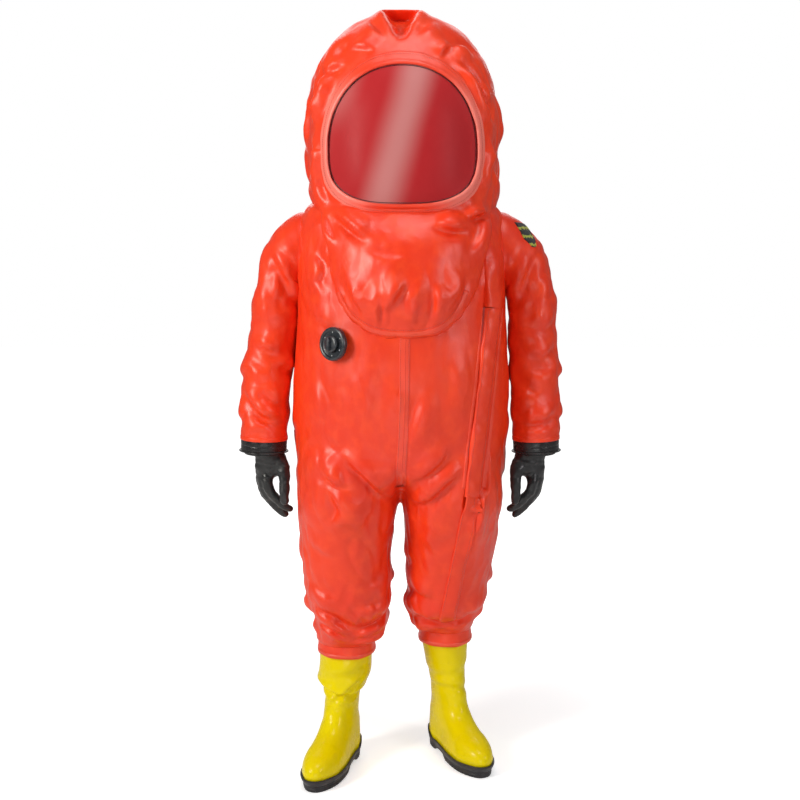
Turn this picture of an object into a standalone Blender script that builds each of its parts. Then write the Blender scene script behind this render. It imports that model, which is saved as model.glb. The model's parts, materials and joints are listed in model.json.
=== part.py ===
"""Encapsulating chemical protective suit, standing in its boots, as separate sub-parts.

Metres, +Z up. The wearer faces -Y, and the wearer's left is +X. The origin is on the floor, under the
middle of the suit's box. Fabric pieces are thin shells, open where the real garment is open inside.
"""

import math

import bmesh
import bpy
from mathutils import Matrix, Vector
from mathutils.bvhtree import BVHTree

# ---------------------------------------------------------------- driving dimensions
SUIT_ORIGIN = Vector((0.000, 0.0429, 0.0))   # the middle of the floor area, in the layout's own axes
FABRIC = 0.003                              # wall of a fabric shell
GAP = 0.0006                                # clearance between pieces that meet
SIDES = {"left": 1, "right": -1}

# Horizontal sections: height, half width, front, back, front power, back power
TORSO_SECTIONS = [
    (0.748, 0.266, -0.190, 0.160, 2.3, 2.4),
    (0.860, 0.270, -0.216, 0.162, 2.1, 2.4),
    (0.980, 0.276, -0.230, 0.164, 2.0, 2.4),
    (1.100, 0.270, -0.236, 0.166, 2.0, 2.5),
    (1.220, 0.264, -0.226, 0.168, 2.2, 2.6),
    (1.340, 0.264, -0.210, 0.170, 2.6, 2.7),
    (1.448, 0.259, -0.214, 0.170, 2.5, 2.6),
]
HOOD_SECTIONS = [
    (1.450, 0.258, -0.218, 0.172, 2.3, 2.3),
    (1.480, 0.240, -0.224, 0.176, 2.3, 2.3),
    (1.540, 0.241, -0.228, 0.182, 2.3, 2.3),
    (1.610, 0.248, -0.228, 0.182, 2.3, 2.2),
    (1.670, 0.248, -0.222, 0.178, 2.2, 2.2),
    (1.730, 0.240, -0.210, 0.170, 2.2, 2.2),
    (1.790, 0.220, -0.190, 0.156, 2.2, 2.1),
    (1.850, 0.188, -0.160, 0.132, 2.1, 2.0),
    (1.900, 0.145, -0.122, 0.100, 2.0, 2.0),
    (1.932, 0.098, -0.082, 0.070, 2.0, 2.0),
    (1.948, 0.050, -0.044, 0.038, 2.0, 2.0),
]
HOOD_CROWN = 1.953

# Legs: height, inner x, outer x, front, back; the trouser leg turns from a D into a round
LEG_SECTIONS = {
    "left": [
        (0.746, 0.003, 0.266, -0.190, 0.160),
        (0.660, 0.004, 0.256, -0.158, 0.162),
        (0.580, 0.008, 0.250, -0.130, 0.160),
        (0.500, 0.015, 0.240, -0.106, 0.162),
        (0.440, 0.017, 0.231, -0.090, 0.165),
        (0.400, 0.024, 0.212, -0.062, 0.158),
        (0.372, 0.044, 0.193, -0.024, 0.136),
        (0.352, 0.053, 0.190, -0.013, 0.124),
    ],
    "right": [
        (0.746, 0.003, 0.266, -0.190, 0.160),
        (0.660, 0.006, 0.262, -0.168, 0.152),
        (0.580, 0.018, 0.259, -0.152, 0.138),
        (0.500, 0.022, 0.253, -0.142, 0.124),
        (0.440, 0.030, 0.240, -0.130, 0.116),
        (0.400, 0.032, 0.224, -0.110, 0.104),
        (0.372, 0.046, 0.222, -0.092, 0.088),
        (0.352, 0.068, 0.222, -0.080, 0.075),
    ],
}
HEM_TOP, HEM_BOTTOM = 0.3505, 0.320
HEM_CENTRE = {"left": (0.1215, 0.0555), "right": (0.1450, -0.0025)}
HEM_RADIUS = {"left": 0.0670, "right": 0.0755}

# Boots: floor point under the ankle, toe-out angle, and sections in the boot's own axes
ANKLE = {"left": (0.135, 0.070), "right": (0.155, -0.005)}
TOE_OUT = {"left": 24.0, "right": 18.0}
SHAFT_RADIUS = {"left": 0.0612, "right": 0.0695}
BOOT_TOP = 0.366
SOLE_THICKNESS = 0.030
# height, half width, front, back, forefoot widening; the shaft's rows use shares of its radius
FOOT_SECTIONS = [
    (0.0305, 0.0420, -0.212, 0.074, 0.42),
    (0.0420, 0.0430, -0.216, 0.076, 0.42),
    (0.0600, 0.0430, -0.210, 0.076, 0.36),
    (0.0760, 0.0430, -0.186, 0.074, 0.26),
    (0.0920, 0.0430, -0.140, 0.071, 0.14),
    (0.1120, 0.0430, -0.098, 0.068, 0.05),
    (0.1400, 0.0440, -0.072, 0.065, 0.00),
    (0.1900, 0.0480, -0.060, 0.064, 0.00),
]

# Arms, left side: centre x, y, z, tilt of the ring, radius across, radius fore and aft
ARM_SECTIONS = [
    (0.2440, 0.000, 1.356, 90.0, 0.0900, 0.0860),
    (0.2680, 0.000, 1.352, 84.0, 0.0910, 0.0870),
    (0.3065, 0.000, 1.321, 54.0, 0.0730, 0.0840),
    (0.3290, 0.000, 1.254, 16.0, 0.0600, 0.0780),
    (0.3360, 0.000, 1.185, 7.0, 0.0600, 0.0740),
    (0.3460, 0.000, 1.085, 5.0, 0.0630, 0.0710),
    (0.3510, -0.010, 0.980, 2.0, 0.0630, 0.0680),
    (0.3520, -0.024, 0.878, 2.0, 0.0600, 0.0615),
]
# Places along the arm, counted in rows of ARM_SECTIONS, where one piece ends and the next starts
CAP_END, SHOULDER_END, UPPER_END, ELBOW_END, CUFF_END = 2.42, 3.68, 4.52, 5.50, 7.0
ARM_GAP = 0.020
CUFF_TILT = 2.0
SHOULDER_PIVOT, ELBOW_PIVOT = Vector((0.310, 1.262)), Vector((0.346, 1.085))   # x and z
GLOVE_TURN = 38.0                           # how far the row of fingers is turned towards the front
WRIST = Vector((0.3520, -0.024, 0.8775))

VISOR_CENTRE = Vector((0.006, 1.600))       # x and z
VISOR_HALF_WIDTH, VISOR_UP, VISOR_DOWN = 0.172, 0.187, 0.124
FRAME_WIDTH = 0.0225

BIB_TOP, BIB_BOTTOM, BIB_HALF_WIDTH = 1.448, 1.150, 0.206
BIB_BULGE = 0.050

HUMP_BOTTOM, HUMP_TOP, HUMP_HALF_WIDTH, HUMP_DEPTH = 0.960, 1.440, 0.185, 0.185

AIR_VALVE_POINT = Vector((-0.150, 1.137))   # x and z
AIR_VALVE_TURN = 40.0                       # how far its axis turns from straight ahead, towards the side
AIR_VALVE_RADIUS = 0.0415
EXHAUST_X, EXHAUST_Z, EXHAUST_RADIUS = 0.100, 1.340, 0.034

ZIP_TOP, ZIP_BOTTOM = Vector((0.214, 1.222)), Vector((0.164, 0.756))   # x and z
LEG_ZIP_TOP, LEG_ZIP_BOTTOM = Vector((0.163, 0.740)), Vector((0.131, 0.430))
ZIP_FACING = 38.0                           # the strip's outward direction, turned from straight ahead
FLAP_HALF_WIDTH, FLAP_HEIGHT, FLAP_SHEET = 0.0195, 0.0140, 0.0022

SUIT_RED = (0.84, 0.075, 0.030, 1)
BOOT_YELLOW = (0.80, 0.62, 0.010, 1)
GLOVE_BLACK = (0.018, 0.019, 0.020, 1)
PLASTIC_BLACK = (0.030, 0.033, 0.037, 1)
STEEL_GREY = (0.55, 0.56, 0.58, 1)
WEBBING_GREY = (0.10, 0.10, 0.11, 1)
VISOR_CLEAR = (0.80, 0.45, 0.43, 1)


# ---------------------------------------------------------------- scene, materials and helpers
def clear_scene():
    for obj in list(bpy.data.objects):
        bpy.data.objects.remove(obj)


def collection(name):
    made = bpy.data.collections.new(name)
    bpy.context.scene.collection.children.link(made)
    return made


def material(name, colour, roughness, metallic=0.0, alpha=1.0):
    made = bpy.data.materials.new(name)
    made.use_nodes = True
    shader = made.node_tree.nodes["Principled BSDF"]
    shader.inputs["Base Color"].default_value = colour
    shader.inputs["Roughness"].default_value = roughness
    shader.inputs["Metallic"].default_value = metallic
    shader.inputs["Alpha"].default_value = alpha
    return made


def add_object(name, mesh, finish, place=None):
    """One sub-part, standing on the suit's root."""
    mesh.materials.clear()
    mesh.materials.append(finish)
    mesh.shade_smooth()
    mesh.set_sharp_from_angle(angle=math.radians(35))
    obj = bpy.data.objects.new(name, mesh)
    SUIT.objects.link(obj)
    obj.parent = ROOT
    if place is not None:
        obj.matrix_basis = place
    return obj


def add_pivot(name, place):
    """An empty on a joint's axis, which carries the pieces that move about it."""
    empty = bpy.data.objects.new(name, None)
    SUIT.objects.link(empty)
    empty.parent = ROOT
    empty.matrix_basis = place
    return empty


def carry(pivot, *names):
    """Hangs pieces on a pivot where they stand."""
    for name in names:
        obj = bpy.data.objects[name]
        obj.parent = pivot
        obj.matrix_parent_inverse = pivot.matrix_basis.inverted()


def add_cutter(name, mesh, place=None):
    obj = bpy.data.objects.new(name, mesh)
    CUTTERS.objects.link(obj)
    obj.parent = ROOT
    if place is not None:
        obj.matrix_basis = place
    obj.hide_render = True
    obj.display_type = "WIRE"
    return obj


def boolean(obj, other, operation="DIFFERENCE"):
    modifier = obj.modifiers.new(operation.lower(), "BOOLEAN")
    modifier.object = other
    modifier.operation = operation


def solidify(obj, thickness, offset=-1.0):
    modifier = obj.modifiers.new("wall", "SOLIDIFY")
    modifier.thickness = thickness
    modifier.offset = offset


def signed_power(value, power):
    return math.copysign(abs(value) ** power, value)


def smooth_rows(rows, steps):
    """The given rows with more between them, on a Catmull-Rom curve through each column."""
    span = [[2 * a - b for a, b in zip(rows[0], rows[1])], *rows,
            [2 * a - b for a, b in zip(rows[-1], rows[-2])]]
    made = []
    for i in range(1, len(span) - 2):
        made += [spline_row(span, i, step / steps) for step in range(steps)]
    return [*made, list(rows[-1])]


def spline_row(span, i, t):
    return [
        0.5 * (2 * b + (c - a) * t + (2 * a - 5 * b + 4 * c - d) * t * t + (3 * b - a - 3 * c + d) * t ** 3)
        for a, b, c, d in zip(span[i - 1], span[i], span[i + 1], span[i + 2])
    ]


def oval(half_width, front, back, front_power, back_power, count):
    """A closed section, counter-clockwise from +X, with its own roundness in front and behind."""
    points = []
    for k in range(count):
        turn = 2 * math.pi * k / count
        c, s = math.cos(turn), math.sin(turn)
        power = 2 / (front_power if s < 0 else back_power)
        depth = -front if s < 0 else back
        points.append((half_width * signed_power(c, power), depth * signed_power(s, power)))
    return points


def ring_mesh(name, rings, close_start=False, close_end=False, tip=None):
    """Quads between rings of equal count. An end is left open, closed flat, or run to a tip point."""
    count = len(rings[0])
    points = [Vector(p) for ring in rings for p in ring]
    faces = []
    for r in range(len(rings) - 1):
        for k in range(count):
            n = (k + 1) % count
            faces.append((r * count + k, r * count + n, (r + 1) * count + n, (r + 1) * count + k))
    last = (len(rings) - 1) * count
    if close_start:
        faces.append(tuple(reversed(range(count))))
    if close_end:
        faces.append(tuple(range(last, last + count)))
    if tip is not None:
        points.append(Vector(tip))
        faces += [(last + k, last + (k + 1) % count, len(points) - 1) for k in range(count)]
    mesh = bpy.data.meshes.new(name)
    mesh.from_pydata(points, [], faces)
    face_outwards(mesh)
    return mesh


def face_outwards(mesh):
    """Turns every face of a tube or dome so that it faces away from the middle of the rings."""
    middle = sum((v.co for v in mesh.vertices), Vector()) / len(mesh.vertices)
    lean = sum((p.center - middle).dot(p.normal) * p.area for p in mesh.polygons)
    if lean < 0:
        mesh.flip_normals()


def grid_mesh(name, rows, closed_rows=False):
    """An open sheet through rows of points; closed_rows joins each row's end to its start."""
    count = len(rows[0])
    points = [Vector(p) for row in rows for p in row]
    wrap = count if closed_rows else count - 1
    faces = [
        (r * count + k, r * count + (k + 1) % count, (r + 1) * count + (k + 1) % count, (r + 1) * count + k)
        for r in range(len(rows) - 1)
        for k in range(wrap)
    ]
    mesh = bpy.data.meshes.new(name)
    mesh.from_pydata(points, [], faces)
    return mesh


def face_towards(mesh, direction):
    if sum(p.normal.dot(direction) * p.area for p in mesh.polygons) < 0:
        mesh.flip_normals()


def solid_box(name, low, high):
    mesh = bpy.data.meshes.new(name)
    shape = bmesh.new()
    size = Vector(high) - Vector(low)
    middle = (Vector(high) + Vector(low)) / 2
    bmesh.ops.create_cube(shape, size=1.0, matrix=Matrix.Translation(middle) @ Matrix.Diagonal((*size, 1)))
    shape.to_mesh(mesh)
    shape.free()
    return mesh


def cylinder_mesh(name, radius, low, high, sides=32):
    """A cylinder along its own Z, from low to high."""
    mesh = bpy.data.meshes.new(name)
    shape = bmesh.new()
    bmesh.ops.create_cone(
        shape, cap_ends=True, segments=sides, radius1=radius, radius2=radius, depth=high - low,
        matrix=Matrix.Translation((0, 0, (low + high) / 2)),
    )
    shape.to_mesh(mesh)
    shape.free()
    return mesh


def bevel(obj, width, segments=1):
    modifier = obj.modifiers.new("edges", "BEVEL")
    modifier.width = width
    modifier.segments = segments
    modifier.limit_method = "ANGLE"
    modifier.angle_limit = math.radians(40)


def turned(name, profile, finish, place, steps=20, closed=False):
    """A profile of (radius, height) turned about Z. It runs down its outer side."""
    edges = [(k, k + 1) for k in range(len(profile) - 1)]
    if closed:
        edges.append((len(profile) - 1, 0))
    mesh = bpy.data.meshes.new(name)
    mesh.from_pydata([(r, 0, z) for r, z in profile], edges, [])
    obj = add_object(name, mesh, finish, place)
    modifier = obj.modifiers.new("turn", "SCREW")
    modifier.axis = "Z"
    modifier.angle = 2 * math.pi
    modifier.steps = modifier.render_steps = steps
    modifier.use_merge_vertices = True
    modifier.merge_threshold = 0.00002
    modifier.use_smooth_shade = True
    return obj


def axes_at(point, outward, up=Vector((0, 0, 1))):
    """A frame at a point whose Z runs outward and whose Y leans towards up."""
    z = Vector(outward).normalized()
    x = Vector(up).cross(z).normalized()
    y = z.cross(x)
    place = Matrix((x, y, z)).transposed().to_4x4()
    place.translation = point
    return place


def surface_of(*meshes):
    points, faces = [], []
    for mesh in meshes:
        start = len(points)
        points += [v.co.copy() for v in mesh.vertices]
        faces += [[start + i for i in p.vertices] for p in mesh.polygons]
    return BVHTree.FromPolygons(points, faces)


def meet(surface, start, direction):
    """Where a line from start first meets the surface, and the surface's normal facing back at it."""
    place, normal, _, _ = surface.ray_cast(Vector(start), Vector(direction).normalized())
    if place is None:
        raise ValueError(f"nothing is met from {start} along {direction}")
    return place, normal if normal.dot(Vector(direction)) < 0 else -normal


# ---------------------------------------------------------------- torso and hood
def section_rings(sections, steps, count):
    rings = []
    for z, half_width, front, back, front_power, back_power in smooth_rows(sections, steps):
        rings.append([(x, y, z) for x, y in oval(half_width, front, back, front_power, back_power, count)])
    return rings


def visor_outline(grow, count=32):
    """The visor's outline in x and z: a tall arch above, a squarer sweep below."""
    points = []
    for k in range(count):
        turn = 2 * math.pi * k / count
        c, s = math.cos(turn), math.sin(turn)
        power = 2 / 2.15 if s > 0 else 2 / 2.9
        height = VISOR_UP if s > 0 else VISOR_DOWN
        points.append((
            VISOR_CENTRE.x + (VISOR_HALF_WIDTH + grow) * signed_power(c, power),
            VISOR_CENTRE.y + (height + grow) * signed_power(s, power),
        ))
    return points


def on_front(surface, x, z, lift):
    """The point on the suit's front at x and z, lifted off it along the surface's normal."""
    place, normal = meet(surface, (x, -1.0, z), (0, 1, 0))
    return place + normal * lift


def build_torso():
    mesh = ring_mesh("torso_shell", section_rings(TORSO_SECTIONS, 1, 30))
    surface = surface_of(mesh)
    torso = add_object("torso_shell", mesh, FABRIC_RED)
    solidify(torso, FABRIC)
    for side, sign in SIDES.items():
        rings = [arm_ring(place, sign, 2 * GAP) for place in [-0.3, *arm_places(0.0, CAP_END - ARM_GAP, 6)]]
        boolean(torso, add_cutter(f"armhole_cutter_{side}", ring_mesh(f"armhole_cutter_{side}", rings, True, True)))
    return torso, surface


def build_hood():
    rings = section_rings(HOOD_SECTIONS, 1, 30)
    mesh = ring_mesh("hood_shell", rings, tip=(0, 0, HOOD_CROWN))
    surface = surface_of(mesh)
    hood = add_object("hood_shell", mesh, FABRIC_RED)
    solidify(hood, FABRIC)
    outline = visor_outline(0.0)
    cutter = ring_mesh("visor_cutter", [[(x, y, z) for x, z in outline] for y in (-0.10, -0.40)], True, True)
    face_outwards(cutter)
    boolean(hood, add_cutter("visor_cutter", cutter))
    build_visor(surface)
    return surface


def build_visor(surface):
    """Lens, gasket bead and welded frame, each following the hood's front."""
    lens_outline = visor_outline(0.0065)
    rows = []
    for share in (1.0, 0.66, 0.33):
        rows.append([
            on_front(surface, VISOR_CENTRE.x + (x - VISOR_CENTRE.x) * share,
                     VISOR_CENTRE.y + (z - VISOR_CENTRE.y) * share, 0.0046)
            for x, z in lens_outline
        ])
    lens_mesh = ring_mesh("visor_lens", rows, tip=on_front(surface, VISOR_CENTRE.x, VISOR_CENTRE.y, 0.0046))
    face_towards(lens_mesh, Vector((0, -1, 0)))
    lens = add_object("visor_lens", lens_mesh, LENS)
    solidify(lens, 0.0015, 1.0)
    frame_rows = [
        [on_front(surface, x, z, lift) for x, z in visor_outline(grow)]
        for grow, lift in ((0.0005, 0.0084), (0.0085, 0.0082), (0.0135, 0.0038), (FRAME_WIDTH, 0.0032))
    ]
    frame_mesh = grid_mesh("visor_frame", frame_rows, closed_rows=True)
    face_towards(frame_mesh, Vector((0, -1, 0)))
    solidify(add_object("visor_frame", frame_mesh, FABRIC_RED), 0.0022, 1.0)
    bead_line = [on_front(surface, x, z, 0.0088) for x, z in visor_outline(-0.0025, 40)]
    wire("visor_gasket", bead_line, 0.0014, RUBBER, cyclic=True)


def wire(name, line, radius, finish, cyclic=False):
    curve = bpy.data.curves.new(name, "CURVE")
    curve.dimensions = "3D"
    curve.bevel_depth = radius
    curve.bevel_resolution = 0
    curve.use_fill_caps = not cyclic
    spline = curve.splines.new("POLY")
    spline.points.add(len(line) - 1)
    for point, place in zip(spline.points, line):
        point.co = (*place, 1)
    spline.use_cyclic_u = cyclic
    curve.materials.append(finish)
    obj = bpy.data.objects.new(name, curve)
    SUIT.objects.link(obj)
    obj.parent = ROOT
    return obj


def bib_half_width(z, grow=0.0):
    """Half the bib's width at a height: a wide U, rounded at the bottom."""
    share = min(1.0, max(0.0, (BIB_TOP - z) / (BIB_TOP - BIB_BOTTOM + grow)))
    return (BIB_HALF_WIDTH + grow) * (1 - share ** 3.0) ** 0.42


def build_bib(torso, surface):
    """The hood's front panel: a U that bulges over the chest, with the torso cut away behind it."""
    rows, levels, across = [], 8, 13
    for i in range(levels):
        share = (i / (levels - 1)) ** 0.8
        z = BIB_TOP - GAP + (BIB_BOTTOM + 0.004 - BIB_TOP) * share
        half = bib_half_width(z)
        row = []
        for k in range(across):
            u = -1 + 2 * k / (across - 1)
            bulge = BIB_BULGE * (1 - u * u) * math.sin(math.pi * min(1.0, 0.12 + 0.88 * share)) ** 0.7
            place = on_front(surface, half * u, min(z, 1.4470), 0.0045)
            row.append(place + Vector((0, -bulge, z - place.z)))
        rows.append(row)
    mesh = grid_mesh("hood_bib", rows)
    face_towards(mesh, Vector((0, -1, 0)))
    solidify(add_object("hood_bib", mesh, FABRIC_RED), FABRIC, 1.0)
    inset = 0.020
    edge = [(-bib_half_width(z) + inset, z) for z in (1.60, 1.44, 1.40, 1.36, 1.32, 1.28, 1.24, 1.20, 1.18)]
    outline = edge + [(-x, z) for x, z in reversed(edge)]
    cutter = ring_mesh("bib_cutter", [[(x, y, z) for x, z in outline] for y in (-0.08, -0.40)], True, True)
    boolean(torso, add_cutter("bib_cutter", cutter))


def hump_point(x_share, z_share):
    """The breathing-set cover: a rounded box on the back, in shares of its width and height."""
    z = HUMP_BOTTOM + (HUMP_TOP - HUMP_BOTTOM) * z_share
    rise = (1 - abs(2 * z_share - 1) ** 4.0) ** 0.5
    reach = (1 - abs(x_share) ** 3.5) ** 0.5
    return Vector((HUMP_HALF_WIDTH * x_share * (0.88 + 0.12 * rise), HUMP_DEPTH * rise * reach, z))


def build_hump(torso, surface):
    levels, across = 9, 13
    rows = []
    for i in range(levels):
        v = 0.5 - 0.5 * math.cos(math.pi * i / (levels - 1))
        row = []
        for k in range(across):
            u = math.sin(math.pi / 2 * (-1 + 2 * k / (across - 1)))
            local = hump_point(u, v)
            back, normal = meet(surface, (local.x, 1.0, local.z), (0, -1, 0))
            row.append(back + normal * 0.0022 + Vector((0, local.y, 0)))
        rows.append(row)
    mesh = grid_mesh("breathing_set_cover", rows)
    face_towards(mesh, Vector((0, 1, 0)))
    hump_surface = surface_of(mesh)
    hump = add_object("breathing_set_cover", mesh, FABRIC_RED)
    solidify(hump, FABRIC, 1.0)
    inset = 0.022
    low = (-HUMP_HALF_WIDTH + inset, 0.05, HUMP_BOTTOM + inset)
    high = (HUMP_HALF_WIDTH - inset, 0.40, HUMP_TOP - inset)
    boolean(torso, add_cutter("hump_cutter", solid_box("hump_cutter", low, high)))
    return hump, hump_surface


def build_front_tape(surface):
    """The welded tape down the front seam."""
    rows = []
    for i in range(10):
        z = 1.142 + (0.752 - 1.142) * i / 9
        rows.append([on_front(surface, x, z, 0.0016) for x in (0.008, 0.019, 0.030)])
    mesh = grid_mesh("front_seam_tape", rows)
    face_towards(mesh, Vector((0, -1, 0)))
    solidify(add_object("front_seam_tape", mesh, FABRIC_RED), 0.0012, 1.0)


def build_belt():
    """The waist belt that carries the suit's weight inside, and its buckle."""
    belt_z, half_height = 1.000, 0.019
    rings = [
        [(x, y, z) for x, y in oval(0.262, -0.212, 0.150, 2.0, 2.4, 28)]
        for z in (belt_z - half_height, belt_z + half_height)
    ]
    solidify(add_object("waist_belt", ring_mesh("waist_belt", rings), WEBBING), 0.0025)
    buckle = add_object(
        "belt_buckle", solid_box("belt_buckle", (-0.026, -0.2065, belt_z - 0.024), (0.026, -0.1985, belt_z + 0.024)),
        PLASTIC)
    bevel(buckle, 0.002)


# ---------------------------------------------------------------- valves
def build_air_valve(torso, surface):
    """The supplied-air valve on the chest: gasket, flanged body, turning knob and the nut inside."""
    turn = math.radians(AIR_VALVE_TURN)
    outward = Vector((-math.sin(turn), -math.cos(turn), 0.06)).normalized()
    place, _ = meet(surface, (AIR_VALVE_POINT.x, -1.0, AIR_VALVE_POINT.y), (0, 1, 0))
    frame = axes_at(place + outward * 0.0145, outward)
    r = AIR_VALVE_RADIUS
    turned("air_valve_gasket", [(0.0390, -0.0006), (0.0390, -0.0026), (0.0285, -0.0026), (0.0285, -0.0006)],
           RUBBER, frame, closed=True)
    turned("air_valve_body", [
        (0.0210, 0.0052), (0.0300, 0.0058), (0.0345, 0.0082), (0.0385, 0.0078), (r, 0.0052), (r, 0.0),
        (0.0275, 0.0), (0.0275, -0.0480), (0.0220, -0.0480), (0.0220, -0.0060), (0.0062, -0.0060),
        (0.0062, 0.0040), (0.0210, 0.0040),
    ], PLASTIC, frame, closed=True)
    turned("air_valve_nut", [(0.0370, -0.0340), (0.0370, -0.0430), (0.0280, -0.0430), (0.0280, -0.0340)],
           PLASTIC, frame, closed=True)
    knob = turned("air_valve_knob", [
        (0.0, 0.0165), (0.0150, 0.0160), (0.0195, 0.0135), (0.0200, 0.0064), (0.0058, 0.0064),
        (0.0058, -0.0130), (0.0, -0.0130),
    ], PLASTIC, frame)
    grip = ring_mesh("knob_grip", [
        [(x, y, z) for x, y in oval(0.0040, -0.0160, 0.0160, 3.0, 3.0, 16)] for z in (0.0120, 0.0250)
    ], True, True)
    boolean(knob, add_cutter("knob_grip", grip, frame), "UNION")
    boolean(torso, add_cutter("air_valve_cutter", cylinder_mesh("air_valve_cutter", 0.0315, -0.07, 0.03), frame))


def build_exhaust_valves(hump, hump_surface):
    """Two exhaust valves high on the back: a seat through the fabric, a disc that lifts, and a cover."""
    for side, sign in SIDES.items():
        place, normal = meet(hump_surface, (sign * EXHAUST_X, 1.0, EXHAUST_Z), (0, -1, 0))
        frame = axes_at(place + normal * (FABRIC + 0.0030), normal)
        turned(f"exhaust_seat_{side}", [
            (EXHAUST_RADIUS, 0.0045), (EXHAUST_RADIUS, 0.0), (0.0225, 0.0), (0.0225, -0.0160),
            (0.0170, -0.0160), (0.0170, 0.0045),
        ], PLASTIC, frame, closed=True)
        turned(f"exhaust_disc_{side}", [(0.0, 0.0068), (0.0205, 0.0062), (0.0205, 0.0050), (0.0, 0.0050)],
               RUBBER, frame)
        cover = turned(f"exhaust_cover_{side}", [
            (0.0, 0.0190), (0.0220, 0.0180), (0.0290, 0.0140), (0.0305, 0.0051), (0.0265, 0.0051),
            (0.0255, 0.0120), (0.0200, 0.0148), (0.0, 0.0152),
        ], PLASTIC, frame)
        for k in range(3):
            slot = solid_box(f"cover_slot_{side}_{k}", (-0.04, -0.0030, 0.0068), (0.04, 0.0030, 0.0108))
            boolean(cover, add_cutter(f"cover_slot_{side}_{k}", slot, frame @ Matrix.Rotation(math.pi * k / 3, 4, "Z")))
        hole = cylinder_mesh(f"exhaust_cutter_{side}", 0.0245, -0.04, 0.02)
        boolean(hump, add_cutter(f"exhaust_cutter_{side}", hole, frame))


# ---------------------------------------------------------------- closure
def zip_frame(surface, samples=13):
    """A frame at the zip's top: Z outward, X across it and -Y down its straight run."""
    facing = math.radians(ZIP_FACING)
    outward = Vector((math.sin(facing), -math.cos(facing), 0))
    across = Vector((math.cos(facing), math.sin(facing), 0))
    top, bottom = (meet(surface, (x, -1.0, z), (0, 1, 0))[0] for x, z in (ZIP_TOP, ZIP_BOTTOM))
    rise = 0.0
    for i in range(samples):
        middle = top.lerp(bottom, i / (samples - 1))
        for side in (-0.024, -0.012, 0.0, 0.012, 0.024):
            start = middle + across * side + outward * 0.2
            rise = max(rise, 0.2 - (meet(surface, start, -outward)[0] - start).length)
    down = (bottom - top).normalized()
    normal = (outward - down * outward.dot(down)).normalized()
    frame = Matrix((down.cross(normal), -down, normal)).transposed().to_4x4()
    frame.translation = top + outward * (rise + 0.0024)
    return frame, (bottom - top).length


def build_zip(surface, samples=13):
    """The zip's straight run on the body: carrier tape, chain, slider, pull, and the flap over it."""
    frame, length = zip_frame(surface)
    inverse, inward = frame.inverted(), -frame.col[2].to_3d()
    rings = []
    for i in range(samples):
        y = -length * i / (samples - 1)
        under = []
        for x in (0.0240, 0.0120, 0.0, -0.0120, -0.0240):
            place, _ = meet(surface, frame @ Vector((x, y, 0.3)), inward)
            under.append((x, y, (inverse @ place).z + 0.0024))
        rings.append([(0.0240, y, 0.0024), (-0.0240, y, 0.0024), *reversed(under)])
    add_object("zip_tape", ring_mesh("zip_tape", rings, True, True), FABRIC_RED, frame)
    zip_piece("zip_chain", (-0.0045, -length + 0.008, 0.0028), (0.0045, -0.008, 0.0050), 0.0006, frame)
    zip_piece("zip_slider", (-0.0080, -0.048, 0.0054), (0.0080, -0.022, 0.0090), 0.0014, frame)
    zip_piece("zip_pull", (-0.0045, -0.0710, 0.0054), (0.0045, -0.0486, 0.0067), 0.0005, frame)
    w, h = FLAP_HALF_WIDTH, FLAP_HEIGHT
    bend = [(-w, 0.0035), (-w, h - 0.003), (-w + 0.003, h), (w - 0.003, h), (w, h - 0.003), (w, 0.0035)]
    mesh = grid_mesh("zip_flap", [[(x, y, z) for x, z in bend] for y in (0.0, -length)])
    face_towards(mesh, Vector((0, 0, 1)))
    solidify(add_object("zip_flap", mesh, FABRIC_RED, frame), FLAP_SHEET, 1.0)
    hinge = frame @ Matrix.Translation((-w - FLAP_SHEET, 0, 0.0035))
    carry(add_pivot("flap_pivot", hinge), "zip_flap")
    carry(add_pivot("pull_pivot", frame @ Matrix.Translation((0, -0.0484, 0.0060))), "zip_pull")


def zip_piece(name, low, high, edge, frame):
    bevel(add_object(name, solid_box(name, low, high), STEEL, frame), edge)


def build_leg_zip(surface, rows=13):
    """The zip's lower run down the left leg, under its own length of flap."""
    for name, widths, lift, sheet in (
        ("leg_zip_tape", (-0.024, -0.012, 0.0, 0.012, 0.024), 0.0042, 0.0020),
        ("leg_zip_flap", (-0.0217, -0.0187, 0.0, 0.0187, 0.0217), 0.0080, FLAP_SHEET),
    ):
        lines = []
        for i in range(rows):
            x, z = LEG_ZIP_TOP.lerp(LEG_ZIP_BOTTOM, i / (rows - 1))
            middle, normal = meet(surface, (x, -1.0, z), (0, 1, 0))
            across = Vector((-normal.y, normal.x, 0)).normalized()
            line = []
            for width in widths:
                place, facing = meet(surface, middle + normal * 0.3 + across * width, -normal)
                line.append(place + facing * lift)
            lines.append(line)
        mesh = grid_mesh(name, lines)
        face_towards(mesh, Vector((0.3, -1, 0)))
        solidify(add_object(name, mesh, FABRIC_RED), sheet, 1.0)


# ---------------------------------------------------------------- arms
def arm_row(place):
    """The arm's section at a place counted in rows, on a smooth curve through them."""
    rows = ARM_SECTIONS
    span = [[2 * a - b for a, b in zip(rows[0], rows[1])], *rows, [2 * a - b for a, b in zip(rows[-1], rows[-2])]]
    i = min(max(0, int(place)), len(rows) - 2)
    return spline_row(span, i + 1, place - i)


def arm_ring(place, sign, grow=0.0, count=18):
    x, y, z, tilt, across, depth = arm_row(place)
    lean = math.radians(tilt)
    ring = []
    for k in range(count):
        turn = 2 * math.pi * k / count
        a, b = (across + grow) * math.cos(turn), (depth + grow) * math.sin(turn)
        ring.append((sign * (x + a * math.cos(lean)), y + b, z + a * math.sin(lean)))
    return ring


def arm_places(start, end, rings):
    return [start + (end - start) * i / (rings - 1) for i in range(rings)]


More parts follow.
